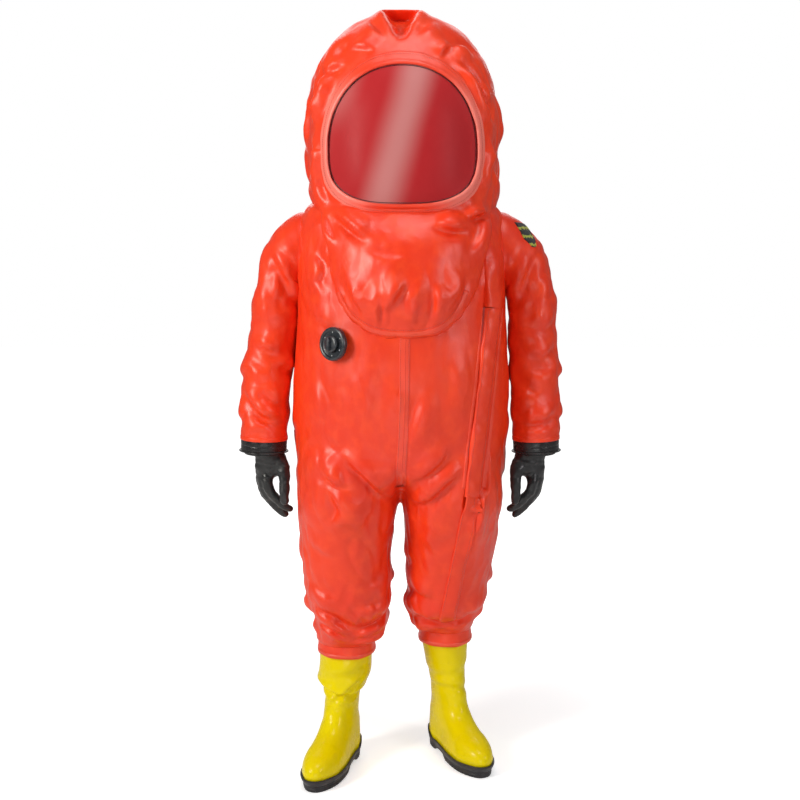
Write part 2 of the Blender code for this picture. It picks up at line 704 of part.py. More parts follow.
def arm_piece(name, start, end, rings, sign):
    mesh = ring_mesh(name, [arm_ring(place, sign) for place in arm_places(start, end, rings)])
    surface = surface_of(mesh)
    solidify(add_object(name, mesh, FABRIC_RED), FABRIC)
    return surface


def build_arm(side, sign):
    edge = ARM_GAP
    cap_surface = arm_piece(f"shoulder_cap_{side}", 0.0, CAP_END - edge, 6, sign)
    arm_piece(f"shoulder_fold_{side}", CAP_END, SHOULDER_END, 4, sign)
    arm_piece(f"upper_sleeve_{side}", SHOULDER_END + edge, UPPER_END - edge, 3, sign)
    arm_piece(f"elbow_fold_{side}", UPPER_END, ELBOW_END, 4, sign)
    arm_piece(f"forearm_sleeve_{side}", ELBOW_END + edge, CUFF_END, 5, sign)
    shoulder = add_pivot(f"shoulder_pivot_{side}", Matrix.Translation((sign * SHOULDER_PIVOT.x, 0, SHOULDER_PIVOT.y)))
    elbow = add_pivot(f"elbow_pivot_{side}", Matrix.Translation((sign * ELBOW_PIVOT.x, 0, ELBOW_PIVOT.y)))
    carry(shoulder, f"upper_sleeve_{side}", f"elbow_fold_{side}")
    tilt = math.radians(-CUFF_TILT * sign)
    frame = Matrix.Translation((sign * WRIST.x, WRIST.y, WRIST.z)) @ Matrix.Rotation(tilt, 4, "Y")
    turned(f"cuff_ring_{side}", [
        (0.0545, 0.0300), (0.0550, 0.0), (0.0575, -0.0010), (0.0575, -0.0260), (0.0500, -0.0260), (0.0500, 0.0300),
    ], RUBBER, frame, closed=True)
    turned(f"lock_ring_{side}", [
        (0.0570, -0.0265), (0.0605, -0.0275), (0.0612, -0.0300), (0.0570, -0.0315), (0.0500, -0.0315),
        (0.0500, -0.0265),
    ], RUBBER, frame, closed=True)
    turned(f"glove_ring_{side}", [
        (0.0488, 0.0240), (0.0488, -0.0340), (0.0455, -0.0340), (0.0455, 0.0240),
    ], PLASTIC, frame, closed=True)
    build_glove(side, sign, frame)
    carry(elbow, f"forearm_sleeve_{side}", f"cuff_ring_{side}", f"lock_ring_{side}")
    carry(add_pivot(f"wrist_pivot_{side}", frame), f"glove_ring_{side}", f"glove_{side}")
    return cap_surface


def glove_tubes(sign):
    """Rows of x, y, z, radius for the palm, four fingers and the thumb. The wrist is at z 0."""
    tubes = [
        [(0.002, y * 0.2, -0.010, 0.0465), (0.002, y * 0.4, -0.040, 0.0440),
         (0.004, y * 0.9, -0.070, 0.0330), (0.006, y * 1.5, -0.098, 0.0200)]
        for y in (-0.014, 0.0, 0.014)
    ]
    for reach, y in ((0.92, -0.031), (1.02, -0.0105), (0.98, 0.0105), (0.84, 0.030)):
        tubes.append([
            (0.006, y * 0.95, -0.084, 0.0175), (0.010, y, -0.098 - 0.034 * reach, 0.0142),
            (0.000, y * 0.96, -0.098 - 0.068 * reach, 0.0130), (-0.014, y * 0.92, -0.098 - 0.094 * reach, 0.0112),
        ])
    tubes.append([
        (-0.004, -0.022, -0.045, 0.0240), (-0.016, -0.042, -0.078, 0.0180),
        (-0.023, -0.052, -0.108, 0.0150), (-0.025, -0.056, -0.132, 0.0130),
    ])
    c, s = math.cos(math.radians(GLOVE_TURN)), math.sin(math.radians(GLOVE_TURN))
    return [[(sign * (x * c + y * s), y * c - x * s, z, r) for x, y, z, r in tube] for tube in tubes]


def build_glove(side, sign, frame):
    """The moulded glove, hollow at the wrist where the hand goes in."""
    mesh = bpy.data.meshes.new(f"glove_{side}")
    shape = bmesh.new()
    for tube in glove_tubes(sign):
        for x, y, z, r in smooth_rows(tube, 4):
            bmesh.ops.create_icosphere(shape, subdivisions=2, radius=r, matrix=Matrix.Translation((x, y, z)))
    shape.to_mesh(mesh)
    shape.free()
    top = -0.0345
    place = frame @ Matrix.Translation((0, 0, top + 0.030))
    glove = add_object(f"glove_{side}", mesh, RUBBER, place)
    remesh = glove.modifiers.new("one_body", "REMESH")
    remesh.mode = "VOXEL"
    remesh.voxel_size = 0.0058
    fewer = glove.modifiers.new("fewer", "DECIMATE")
    fewer.ratio = 0.17
    trim = solid_box(f"glove_trim_{side}", (-0.08, -0.08, -0.0305), (0.08, 0.08, 0.08))
    boolean(glove, add_cutter(f"glove_trim_{side}", trim, place))
    hollow = ring_mesh(f"glove_hollow_{side}", [
        [(x, y, z) for x, y in oval(r, -d, d, 2, 2, 16)]
        for r, d, z in ((0.0385, 0.0385, 0.01), (0.0385, 0.0385, -0.038), (0.0270, 0.0310, -0.068))
    ], True, True)
    boolean(glove, add_cutter(f"glove_hollow_{side}", hollow, place))


def build_patch(surface):
    """The plain cloth badge on the wearer's left shoulder."""
    outward = Vector((0.62, -0.66, 0.42)).normalized()
    frame = axes_at(Vector((0.322, -0.055, 1.368)) + outward * 0.2, outward)
    rows = []
    for i in range(5):
        row = []
        for k in range(4):
            start = frame @ Vector((-0.015 + 0.030 * k / 3, -0.026 + 0.052 * i / 4, 0))
            place, normal = meet(surface, start, -outward)
            row.append(place + normal * 0.0038)
        rows.append(row)
    mesh = grid_mesh("shoulder_patch", rows)
    face_towards(mesh, outward)
    solidify(add_object("shoulder_patch", mesh, WEBBING), 0.0012, 1.0)


# ---------------------------------------------------------------- legs and boots
def leg_rings(side, sign, count=24):
    """Half of the torso's section at the top, changing to an oval round the shin."""
    rows = LEG_SECTIONS[side]
    top, bottom = rows[0][0], rows[-1][0]
    torso_half = TORSO_SECTIONS[0]
    rings = []
    for z, inner, outer, front, back in rows:
        down = (top - z) / (top - bottom)
        roundness = min(1.0, down * 2.6) ** 0.8
        middle, half = (inner + outer) / 2, (outer - inner) / 2
        centre, half_depth = (front + back) / 2, (back - front) / 2
        power = 2 / (2.3 - 0.3 * down)
        ring = []
        for k in range(count):
            turn = 2 * math.pi * (k + 0.5) / count
            c, s = math.cos(turn), math.sin(turn)
            depth = -front if s < 0 else back
            ox, oy = middle + half * signed_power(c, power), centre + half_depth * signed_power(s, power)
            hip_x = max(inner, outer * signed_power(math.cos(turn), 0.9) if c > 0 else inner)
            hip_y = depth * torso_depth(hip_x / outer, torso_half) * signed_power(s, 0.55 if c <= 0 else 1)
            if c > 0:
                hip_y = math.copysign(depth * torso_depth(hip_x / outer, torso_half), s)
            x = hip_x + (ox - hip_x) * roundness
            y = hip_y + (oy - hip_y) * roundness
            ring.append((sign * x, y, z))
        rings.append(ring)
    return rings


def torso_depth(share, section):
    """The depth of an oval section at a share of its half width, as a share of its full depth."""
    power = section[4]
    return (1 - min(1.0, abs(share)) ** power) ** (1 / power)


def build_leg(side, sign):
    mesh = ring_mesh(f"leg_{side}", leg_rings(side, sign))
    surface_mesh = mesh.copy()
    solidify(add_object(f"leg_{side}", mesh, FABRIC_RED), FABRIC)
    x, y = HEM_CENTRE[side]
    radius = HEM_RADIUS[side]
    rings = [
        [(sign * x + px, y + py, z) for px, py in oval(radius, -radius, radius, 2, 2, 24)]
        for z in (HEM_TOP, HEM_BOTTOM)
    ]
    solidify(add_object(f"hem_band_{side}", ring_mesh(f"hem_band_{side}", rings), FABRIC_RED), FABRIC)
    return surface_mesh


def boot_rings(side, sign, rows, shrink=0.0, count=20):
    """Horizontal sections of the boot, turned toe-out, leaning from the ankle to the hem."""
    ankle = Vector((*ANKLE[side], 0))
    top = Vector((*HEM_CENTRE[side], 0))
    yaw = Matrix.Rotation(math.radians(TOE_OUT[side]), 3, "Z")
    rings = []
    for z, half_width, front, back, forefoot in rows:
        lean = min(1.0, max(0.0, (z - 0.12) / 0.19))
        centre = ankle.lerp(top, lean)
        power = 2.3 - 0.3 * lean
        ring = []
        for x, y in oval(half_width - shrink, front + shrink, back - shrink, power, power, count):
            widen = 1 + forefoot * min(1.0, max(0.0, -y / 0.15))
            point = centre + yaw @ Vector((x * widen, y, 0))
            ring.append((sign * point.x, point.y, z))
        rings.append(ring)
    return rings


def boot_rows(side):
    r = SHAFT_RADIUS[side]
    shaft = [(0.250, 0.90 * r, -0.98 * r, 0.98 * r, 0.0), (0.320, r, -r, r, 0.0), (BOOT_TOP, r, -r, r, 0.0)]
    return smooth_rows(FOOT_SECTIONS, 1)[:-1] + smooth_rows([FOOT_SECTIONS[-1], *shaft], 1)


def build_boot(side, sign):
    rows = boot_rows(side)
    boot = ring_mesh(f"boot_{side}", boot_rings(side, sign, rows), close_start=True)
    boot_object = add_object(f"boot_{side}", boot, PVC_YELLOW)
    solidify(boot_object, 0.0028)
    build_sole(side, sign)
    floor = SOLE_THICKNESS + 0.0038
    insole_row = [FOOT_SECTIONS[1][1] - 0.002, FOOT_SECTIONS[1][2] + 0.004, FOOT_SECTIONS[1][3] - 0.004, 0.38]
    rings = boot_rings(side, sign, [[floor, *insole_row], [floor + 0.004, *insole_row]], 0.0045)
    add_object(f"insole_{side}", ring_mesh(f"insole_{side}", rings, True, True), WEBBING)
    build_toe_cap(side, sign)


def build_sole(side, sign):
    """The cup sole: a rim that climbs at the heel, heel and forefoot blocks, and cross grooves."""
    outer = [(0.0, 0.000), (0.004, -0.003), (SOLE_THICKNESS, -0.0050), (0.046, -0.0058)]
    inner = [(0.046, -0.0020), (SOLE_THICKNESS + 0.007, -0.0020), (SOLE_THICKNESS, -0.0020)]
    rings = [boot_rings(side, sign, [foot_row(z)], shrink)[0] for z, shrink in outer + inner]
    for ring in rings[3:5]:
        ring[:] = [(x, y, z + heel_climb(side, sign, x, y)) for x, y, z in ring]
    sole = add_object(f"sole_{side}", ring_mesh(f"sole_{side}", rings, True, True), RUBBER)
    place = foot_frame(side, sign)
    arch = solid_box(f"sole_arch_{side}", (-0.09, -0.062, -0.02), (0.09, 0.008, 0.013))
    boolean(sole, add_cutter(f"sole_arch_{side}", arch, place))
    for k, y in enumerate((-0.190, -0.162, -0.134, -0.106, -0.084, 0.030, 0.052)):
        groove = solid_box(f"sole_groove_{side}_{k}", (-0.09, y, -0.02), (0.09, y + 0.006, 0.005))
        boolean(sole, add_cutter(f"sole_groove_{side}_{k}", groove, place))


def foot_row(z):
    """The foot's section at a height, straight between the given ones."""
    z_known = max(z, FOOT_SECTIONS[0][0])
    for low, high in zip(FOOT_SECTIONS, FOOT_SECTIONS[1:]):
        if z_known <= high[0]:
            t = (z_known - low[0]) / (high[0] - low[0])
            return [z, *(a + (b - a) * t for a, b in zip(low[1:], high[1:]))]
    return [z, *FOOT_SECTIONS[-1][1:]]


def heel_climb(side, sign, x, y):
    """How much higher the sole's rim stands at a place round the heel."""
    turn = Matrix.Rotation(math.radians(-TOE_OUT[side]), 3, "Z")
    local = turn @ (Vector((sign * x, y, 0)) - Vector((*ANKLE[side], 0)))
    return 0.020 * max(0.0, min(1.0, (local.y - 0.010) / 0.05))


def foot_frame(side, sign):
    x, y = ANKLE[side]
    return Matrix.Translation((sign * x, y, 0)) @ Matrix.Rotation(math.radians(TOE_OUT[side] * sign), 4, "Z")


def build_toe_cap(side, sign):
    """The steel cap inside the toe."""
    rows = [row for row in FOOT_SECTIONS if 0.035 < row[0] < 0.095]
    rings = boot_rings(side, sign, rows, 0.0090)
    cap = add_object(f"toe_cap_{side}", ring_mesh(f"toe_cap_{side}", rings), STEEL)
    solidify(cap, 0.0015)
    place = foot_frame(side, sign)
    keep = solid_box(f"toe_keep_{side}", (-0.09, -0.26, 0.0400), (0.09, -0.150, 0.12))
    boolean(cap, add_cutter(f"toe_keep_{side}", keep, place), "INTERSECT")


# ---------------------------------------------------------------- build
clear_scene()
SUIT = collection("chemical_protective_suit")
CUTTERS = collection("cutters")
ROOT = bpy.data.objects.new("suit_origin", None)
SUIT.objects.link(ROOT)
ROOT.location = -SUIT_ORIGIN

FABRIC_RED = material("suit_fabric", SUIT_RED, 0.32)
PVC_YELLOW = material("boot_pvc", BOOT_YELLOW, 0.28)
RUBBER = material("black_rubber", GLOVE_BLACK, 0.5)
PLASTIC = material("black_plastic", PLASTIC_BLACK, 0.35)
STEEL = material("steel", STEEL_GREY, 0.3, 1.0)
WEBBING = material("webbing", WEBBING_GREY, 0.8)
LENS = material("visor_clear", VISOR_CLEAR, 0.08, 0.0, 0.35)


def main():
    torso, torso_surface = build_torso()
    build_hood()
    build_bib(torso, torso_surface)
    hump, hump_surface = build_hump(torso, torso_surface)
    build_exhaust_valves(hump, hump_surface)
    build_air_valve(torso, torso_surface)
    build_front_tape(torso_surface)
    build_belt()
    leg_meshes = {}
    for side, sign in SIDES.items():
        cap_surface = build_arm(side, sign)
        if side == "left":
            build_patch(cap_surface)
        leg_meshes[side] = build_leg(side, sign)
        build_boot(side, sign)
    build_zip(torso_surface)
    build_leg_zip(surface_of(leg_meshes["left"]))
    for mesh in leg_meshes.values():
        bpy.data.meshes.remove(mesh)


main()
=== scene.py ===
"""The chemical protective suit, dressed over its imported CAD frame."""

import json
import math
from contextlib import contextmanager

import bmesh
import bpy
import numpy as np
from mathutils import Matrix, Vector
from mathutils.bvhtree import BVHTree

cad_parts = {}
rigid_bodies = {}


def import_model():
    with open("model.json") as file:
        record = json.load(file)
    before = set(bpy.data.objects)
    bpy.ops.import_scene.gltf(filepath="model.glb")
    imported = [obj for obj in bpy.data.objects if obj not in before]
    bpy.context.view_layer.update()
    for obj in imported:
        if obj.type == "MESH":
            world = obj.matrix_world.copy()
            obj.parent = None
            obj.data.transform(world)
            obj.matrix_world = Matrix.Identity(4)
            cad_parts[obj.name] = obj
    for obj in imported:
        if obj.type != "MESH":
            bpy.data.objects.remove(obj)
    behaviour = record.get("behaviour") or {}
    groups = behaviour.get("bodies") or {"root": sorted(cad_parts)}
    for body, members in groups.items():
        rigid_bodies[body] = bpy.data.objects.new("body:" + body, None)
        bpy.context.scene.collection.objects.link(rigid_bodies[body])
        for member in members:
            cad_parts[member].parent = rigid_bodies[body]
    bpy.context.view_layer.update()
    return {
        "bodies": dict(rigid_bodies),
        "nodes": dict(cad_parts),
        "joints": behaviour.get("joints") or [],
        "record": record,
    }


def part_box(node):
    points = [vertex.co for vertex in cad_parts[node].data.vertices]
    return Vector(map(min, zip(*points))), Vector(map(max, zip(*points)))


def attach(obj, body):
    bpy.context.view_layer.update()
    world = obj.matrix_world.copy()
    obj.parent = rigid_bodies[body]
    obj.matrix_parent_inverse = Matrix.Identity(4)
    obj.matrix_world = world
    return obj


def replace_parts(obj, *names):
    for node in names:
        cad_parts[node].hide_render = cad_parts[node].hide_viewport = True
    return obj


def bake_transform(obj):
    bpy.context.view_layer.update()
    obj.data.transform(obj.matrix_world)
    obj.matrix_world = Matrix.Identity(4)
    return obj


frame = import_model()
JOINTS = {joint["name"]: joint for joint in frame["joints"]}

# ---------------------------------------------------------------- sizes, in metres
# The layout's own axes stand this far from the frame's: they put the ankles' line at y 0.
SHIFT = Vector((0.0, -0.0429, 0.0))
SKIN_CELL, HOOD_CELL, GLOVE_CELL = 0.0085, 0.0070, 0.0026
STITCH_LENGTH, STITCH_PITCH, STITCH_RADIUS = 0.0034, 0.0052, 0.00055
# The storm flap: its length, and how far from its hinge the zip's middle and the flap's free edge are
FLAP_LENGTH, ZIP_MIDDLE, FLAP_EDGE = 0.468, 0.0217, 0.0434
SIDES = {"left": 1, "right": -1}
# The camera: its place, how many degrees it looks down, and its lens in millimetres
CAMERA_PLACE, CAMERA_DOWN, LENS_LENGTH = (0.0, -3.0429, 1.35), 7.1, 52.3
# The visor's outline: centre, half widths and heights, and how square it is above and below
VISOR = {"x": 0.006, "z": 1.600, "half": 0.172, "up": 0.187, "down": 0.124, "above": 2.15, "below": 2.9}

# Height, middle x, half width, front, back, power in front, power behind
TORSO = [
    (0.764, 0.002, 0.225, -0.130, 0.130, 2.3, 2.4),
    (0.800, 0.001, 0.266, -0.192, 0.157, 2.3, 2.4),
    (0.860, 0.001, 0.272, -0.214, 0.160, 2.2, 2.4),
    (0.980, 0.003, 0.280, -0.230, 0.162, 2.1, 2.4),
    (1.100, 0.004, 0.274, -0.236, 0.164, 2.1, 2.5),
    (1.220, 0.004, 0.266, -0.226, 0.166, 2.3, 2.6),
    (1.340, 0.004, 0.264, -0.208, 0.168, 2.6, 2.7),
    (1.420, 0.004, 0.258, -0.196, 0.164, 2.5, 2.6),
    (1.466, 0.004, 0.246, -0.176, 0.154, 2.3, 2.4),
    (1.496, 0.004, 0.200, -0.140, 0.130, 2.1, 2.2),
]
HOOD = [
    (1.410, 0.006, 0.205, -0.170, 0.130, 2.2, 2.2),
    (1.440, 0.011, 0.223, -0.196, 0.160, 2.3, 2.3),
    (1.480, 0.012, 0.230, -0.216, 0.172, 2.3, 2.3),
    (1.540, 0.010, 0.233, -0.226, 0.182, 2.4, 2.3),
    (1.610, 0.008, 0.238, -0.228, 0.184, 2.4, 2.2),
    (1.670, 0.009, 0.239, -0.222, 0.180, 2.3, 2.2),
    (1.730, 0.008, 0.232, -0.210, 0.172, 2.3, 2.2),
    (1.790, 0.006, 0.224, -0.190, 0.158, 2.3, 2.1),
    (1.850, 0.006, 0.194, -0.160, 0.134, 2.2, 2.0),
    (1.900, 0.006, 0.152, -0.124, 0.102, 2.1, 2.0),
    (1.932, 0.004, 0.100, -0.084, 0.072, 2.0, 2.0),
    (1.948, 0.002, 0.050, -0.044, 0.038, 2.0, 2.0),
]
# Height, inner x, outer x, front, back
LEGS = {
    "left": [
        (0.860, -0.040, 0.262, -0.196, 0.150),
        (0.746, -0.001, 0.266, -0.190, 0.160),
        (0.690, 0.0095, 0.261, -0.172, 0.163),
        (0.640, 0.012, 0.254, -0.150, 0.162),
        (0.580, 0.015, 0.249, -0.130, 0.160),
        (0.520, 0.016, 0.238, -0.110, 0.162),
        (0.460, 0.018, 0.234, -0.096, 0.165),
        (0.425, 0.016, 0.226, -0.082, 0.160),
        (0.396, 0.026, 0.200, -0.046, 0.146),
        (0.372, 0.041, 0.193, -0.022, 0.134),
        (0.345, 0.050, 0.191, -0.014, 0.125),
    ],
    "right": [
        (0.860, -0.040, 0.262, -0.200, 0.146),
        (0.746, -0.001, 0.266, -0.192, 0.152),
        (0.690, 0.0095, 0.266, -0.178, 0.150),
        (0.640, 0.018, 0.262, -0.164, 0.146),
        (0.580, 0.027, 0.259, -0.152, 0.138),
        (0.520, 0.025, 0.254, -0.144, 0.128),
        (0.460, 0.022, 0.246, -0.134, 0.118),
        (0.420, 0.034, 0.230, -0.118, 0.106),
        (0.390, 0.034, 0.219, -0.100, 0.096),
        (0.358, 0.046, 0.226, -0.094, 0.088),
        (0.330, 0.069, 0.219, -0.078, 0.072),
    ],
}


def clear_of(value, low, high):
    """Rises smoothly from 0 at low to 1 at high."""
    t = np.clip((value - low) / (high - low), 0.0, 1.0)
    return t * t * (3 - 2 * t)


# ---------------------------------------------------------------- shapes
def spanned(rows):
    """The rows with one more, carried straight on, at each end."""
    return [[2 * a - b for a, b in zip(rows[0], rows[1])], *rows, [2 * a - b for a, b in zip(rows[-1], rows[-2])]]


def spline_rows(rows, steps):
    """More rows between the given ones, on a Catmull-Rom curve through each column."""
    span = spanned(rows)
    made = []
    for i in range(1, len(span) - 2):
        made += [spline_row(span, i, step / steps) for step in range(steps)]
    return [*made, list(rows[-1])]


def spline_row(span, i, t):
    return [
        0.5 * (2 * b + (c - a) * t + (2 * a - 5 * b + 4 * c - d) * t * t + (3 * b - a - 3 * c + d) * t ** 3)
        for a, b, c, d in zip(span[i - 1], span[i], span[i + 1], span[i + 2])
    ]


def signed_power(value, power):
    return math.copysign(abs(value) ** power, value)


def oval(middle, half_width, front, back, front_power, back_power, count):
    points = []
    for turn in turns(count):
        c, s = math.cos(turn), math.sin(turn)
        power = 2 / (front_power if s < 0 else back_power)
        depth = -front if s < 0 else back
        points.append((middle + half_width * signed_power(c, power), depth * signed_power(s, power)))
    return points


def row_at(rows, z):
    """The section at a height, on the same curve as spline_rows."""
    span = spanned(rows)
    for i in range(1, len(span) - 2):
        if z <= span[i + 1][0] or i == len(span) - 3:
            t = (z - span[i][0]) / (span[i + 1][0] - span[i][0])
            return spline_row(span, i, t)


def front_of(rows, x, z):
    """y of a lofted trunk's front at x and z, in the layout's axes."""
    _, middle, half, front, _, power, _ = row_at(rows, z)
    share = min(0.999, abs(x - middle) / half)
    return front * (1 - share ** power) ** (1 / power)


def loft(rings, cap=True, hoop=False):
    """A tube through rings of one count; a hoop also joins the last ring to the first."""
    count, total = len(rings[0]), len(rings)
    points = [p for ring in rings for p in ring]
    faces = []
    for r in range(total if hoop else total - 1):
        here, after = r * count, (r + 1) % total * count
        faces += [(here + k, here + (k + 1) % count, after + (k + 1) % count, after + k) for k in range(count)]
    if cap and not hoop:
        last = (total - 1) * count
        faces += [tuple(reversed(range(count))), tuple(range(last, last + count))]
    return points, faces


def joined(parts):
    """The points and faces of several lofts as one list of each."""
    points, faces = [], []
    for part_points, part_faces in parts:
        start = len(points)
        points += part_points
        faces += [tuple(start + i for i in face) for face in part_faces]
    return points, faces


def turns(count):
    return [2 * math.pi * k / count for k in range(count)]


@contextmanager
def edited(mesh):
    shape = bmesh.new()
    shape.from_mesh(mesh)
    yield shape
    shape.to_mesh(mesh)
    shape.free()


def new_mesh(name, points, faces, fix=True):
    mesh = bpy.data.meshes.new(name)
    mesh.from_pydata([tuple(p) for p in points], [], faces)
    if fix:
        with edited(mesh) as shape:
            bmesh.ops.recalc_face_normals(shape, faces=shape.faces)
    mesh.shade_smooth()
    return mesh


def linked(name, data):
    """A new object of the scene."""
    obj = bpy.data.objects.new(name, data)
    bpy.context.scene.collection.objects.link(obj)
    return obj


def new_piece(name, mesh, finish, slot_name, shift=True, sharp=None):
    """An object in the frame's axes; the mesh is given in the layout's. Edges past `sharp` degrees stay hard."""
    if shift:
        mesh.transform(Matrix.Translation(SHIFT))
    mesh.materials.clear()
    mesh.materials.append(finish)
    mesh.shade_smooth()
    obj = linked(name, mesh)
    if sharp:
        mesh.set_sharp_from_angle(angle=math.radians(sharp))
    return obj


def lofted(name, rings, finish, slot_name, cap=True, hoop=False, **options):
    return new_piece(name, new_mesh(name, *loft(rings, cap, hoop)), finish, slot_name, **options)


def baked(obj):
    """The object's mesh with its modifiers applied."""
    bpy.context.view_layer.update()
    mesh = bpy.data.meshes.new_from_object(obj.evaluated_get(bpy.context.evaluated_depsgraph_get()))
    obj.modifiers.clear()
    obj.data = mesh
    return obj


def remade(mesh, kind, **settings):
    """The mesh under one modifier, applied."""
    obj = linked("remade", mesh)
    modifier = obj.modifiers.new("remade", kind)
    for key, value in settings.items():
        setattr(modifier, key, value)
    made = baked(obj).data
    bpy.data.objects.remove(obj)
    return made


def walled(obj, thickness):
    """Gives an open sheet its wall, on the inside."""
    modifier = obj.modifiers.new("wall", "SOLIDIFY")
    modifier.thickness, modifier.offset = thickness, -1.0
    baked(obj)
    obj.data.shade_smooth()


def stands_for(obj, body, *nodes):
    """Rides on a body, in place of CAD nodes."""
    if nodes:
        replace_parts(obj, *nodes)
    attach(obj, body)
    return obj


def merged(parts, cell, name):
    """One closed skin round several overlapping closed lofts."""
    return remade(new_mesh(name, *joined(parts)), "REMESH", mode="VOXEL", voxel_size=cell)


class Cloth:
    """A mesh's points in numpy, with the few moves that shape and settle it."""

    def __init__(self, mesh):
        self.mesh = mesh
        n = len(mesh.vertices)
        self.n = n
        co = np.empty(n * 3)
        mesh.vertices.foreach_get("co", co)
        self.x = co.reshape(-1, 3)
        edges = np.empty(len(mesh.edges) * 2, int)
        mesh.edges.foreach_get("vertices", edges)
        self.i, self.j = edges.reshape(-1, 2).T
        self.degree = np.maximum(1, np.bincount(edges, minlength=n))

    def gather(self, values):
        return np.stack([
            np.bincount(self.i, values[self.j, k], self.n) + np.bincount(self.j, values[self.i, k], self.n)
            for k in range(values.shape[1])
        ], axis=1) / self.degree[:, None]

    def smooth(self, times, share=0.5, free=1.0):
        for _ in range(times):
            self.x = self.x + share * free * (self.gather(self.x) - self.x)
        return self

    def normals(self):
        self.write()
        found = np.empty(self.n * 3)
        self.mesh.vertex_normals.foreach_get("vector", found)
        return found.reshape(-1, 3)

    def write(self):
        self.mesh.vertices.foreach_set("co", self.x.ravel())
        self.mesh.update()

    def settle(self, growth, times, free, bend, hold, cap, base):
        """Lets the cloth take its grown size: edges push to their lengths, bends ease, and a weak pull
        keeps it near where it lay."""
        home = self.x.copy()
        start = base[self.i] - base[self.j]
        length = np.linalg.norm(start, axis=1)
        up = (start[:, 2] / length) ** 2
        along, round_ = ((part[self.i] + part[self.j]) / 2 for part in growth)
        rest = length * (1 + along * up + round_ * (1 - up))
        free = free[:, None]
        for _ in range(times):
            span = self.x[self.i] - self.x[self.j]
            now = np.linalg.norm(span, axis=1)
            push = span * ((rest - now) / now * 0.5)[:, None]
            moved = np.stack([
                np.bincount(self.i, push[:, k], self.n) - np.bincount(self.j, push[:, k], self.n) for k in range(3)
            ], axis=1) / self.degree[:, None] * 2
            curl = self.gather(self.x) - self.x
            curl = self.gather(curl) - curl
            self.x = self.x + (0.9 * moved - bend * curl + hold * (home - self.x)) * free
            self.x[:, 2] -= 0.00001 * free[:, 0]
            away = self.x - home
            far = np.linalg.norm(away, axis=1)
            self.x = home + away * np.where(far > cap, cap / np.maximum(far, 1e-9), 1.0)[:, None]
        return self


def ripple(points, size, seed, stretch=(1, 1, 1)):
    """A smooth random field of about unit height, whose bumps are about `size` across."""
    source = np.random.default_rng(seed)
    field = np.zeros(len(points))
    scaled = points / np.array(stretch)
    for _ in range(12):
        way = source.normal(size=3)
        way /= np.linalg.norm(way)
        field += np.sin(scaled @ way * (2 * math.pi / size * source.uniform(0.7, 1.4)) + source.uniform(0, 6.28))
    return field / 12 ** 0.5


def crumple(points, size, seed, stretch=(1, 1, 1)):
    """Sharp creases between soft facets, as a coated cloth keeps once it has been folded."""
    valleys = np.abs(ripple(points, size, seed, stretch))
    ridges = np.abs(ripple(points, size * 0.7, seed + 7, stretch))
    return np.minimum(valleys, 1.4) - 0.6 * np.minimum(ridges, 1.4)


FACING = {"front": (0, -1, 0), "back": (0, 1, 0), "left": (1, 0, 0), "right": (-1, 0, 0)}


def press(cloth, folds, part):
    """Raises each fold: a crest along its line, with a crease on one side of it.
    A fold is (side, [(across, height), ...], width, height of the crest, which side the crease is on)."""
    normals = cloth.normals()
    shift = np.zeros(cloth.n)
    for side, line, width, rise, crease in folds:
        facing = clear_of(normals @ np.array(FACING[side]), 0.05, 0.5)
        flat = cloth.x[:, [0, 2]] if side in ("front", "back") else cloth.x[:, [1, 2]]
        knots = np.array(spline_rows(line, 6) if len(line) > 2 else line)
        steps = np.linalg.norm(np.diff(knots, axis=0), axis=1)
        total = steps.sum()
        near = np.where(
            (facing > 0)
            & (flat > knots.min(0) - 5 * width).all(1)
            & (flat < knots.max(0) + 5 * width).all(1)
        )[0]
        best = np.full(len(near), 9.0)
        signed, along = np.zeros(len(near)), np.zeros(len(near))
        for a, b, done, step in zip(knots, knots[1:], np.cumsum(steps) - steps, steps):
            way = (b - a) / step
            offset = flat[near] - a
            t = np.clip(offset @ way, 0, step)
            gap = offset - t[:, None] * way
            distance = np.linalg.norm(gap, axis=1)
            closer = distance < best
            best = np.where(closer, distance, best)
            signed = np.where(closer, gap @ np.array([-way[1], way[0]]), signed)
            along = np.where(closer, (done + t) / total, along)
        taper = clear_of(along, 0.0, 0.42) * clear_of(1 - along, 0.0, 0.42)
        if crease:
            signed = signed * crease
            crest = np.exp(-(signed / np.where(signed < 0, 2.6, 0.85) / width) ** 2)
            crest = crest - 0.55 * np.exp(-((signed - 1.5 * width) / (0.95 * width)) ** 2)
        else:
            crest = np.exp(-(signed / width) ** 2)
        shift[near] += rise * crest * taper * facing[near]
    cloth.x = cloth.x + normals * (shift * part)[:, None]


def tree_of(mesh):
    return BVHTree.FromPolygons([v.co.copy() for v in mesh.vertices], [list(p.vertices) for p in mesh.polygons])


def meet(tree, start, way):
    """Where a line from start first meets the surface, and the normal there, facing back at it."""
    place, normal, _, _ = tree.ray_cast(Vector(start), Vector(way).normalized())
    if place is None:
        place, normal, _, _ = tree.find_nearest(Vector(start) + Vector(way).normalized())
    return place, normal if normal.dot(Vector(way)) < 0 else -normal


def evenly(points, step):
    """A smooth line through the points, with a point about every `step`."""
    dense = [Vector(p) for p in spline_rows([tuple(p) for p in points], 12)]
    total = sum((b - a).length for a, b in zip(dense, dense[1:]))
    count = max(2, round(total / step))
    made, done, i = [dense[0]], 0.0, 0
    for k in range(1, count):
        goal = total * k / count
        while i < len(dense) - 2 and done + (dense[i + 1] - dense[i]).length < goal:
            done += (dense[i + 1] - dense[i]).length
            i += 1
        span = dense[i + 1] - dense[i]
        made.append(dense[i] + span * ((goal - done) / span.length))
    return [*made, dense[-1]]


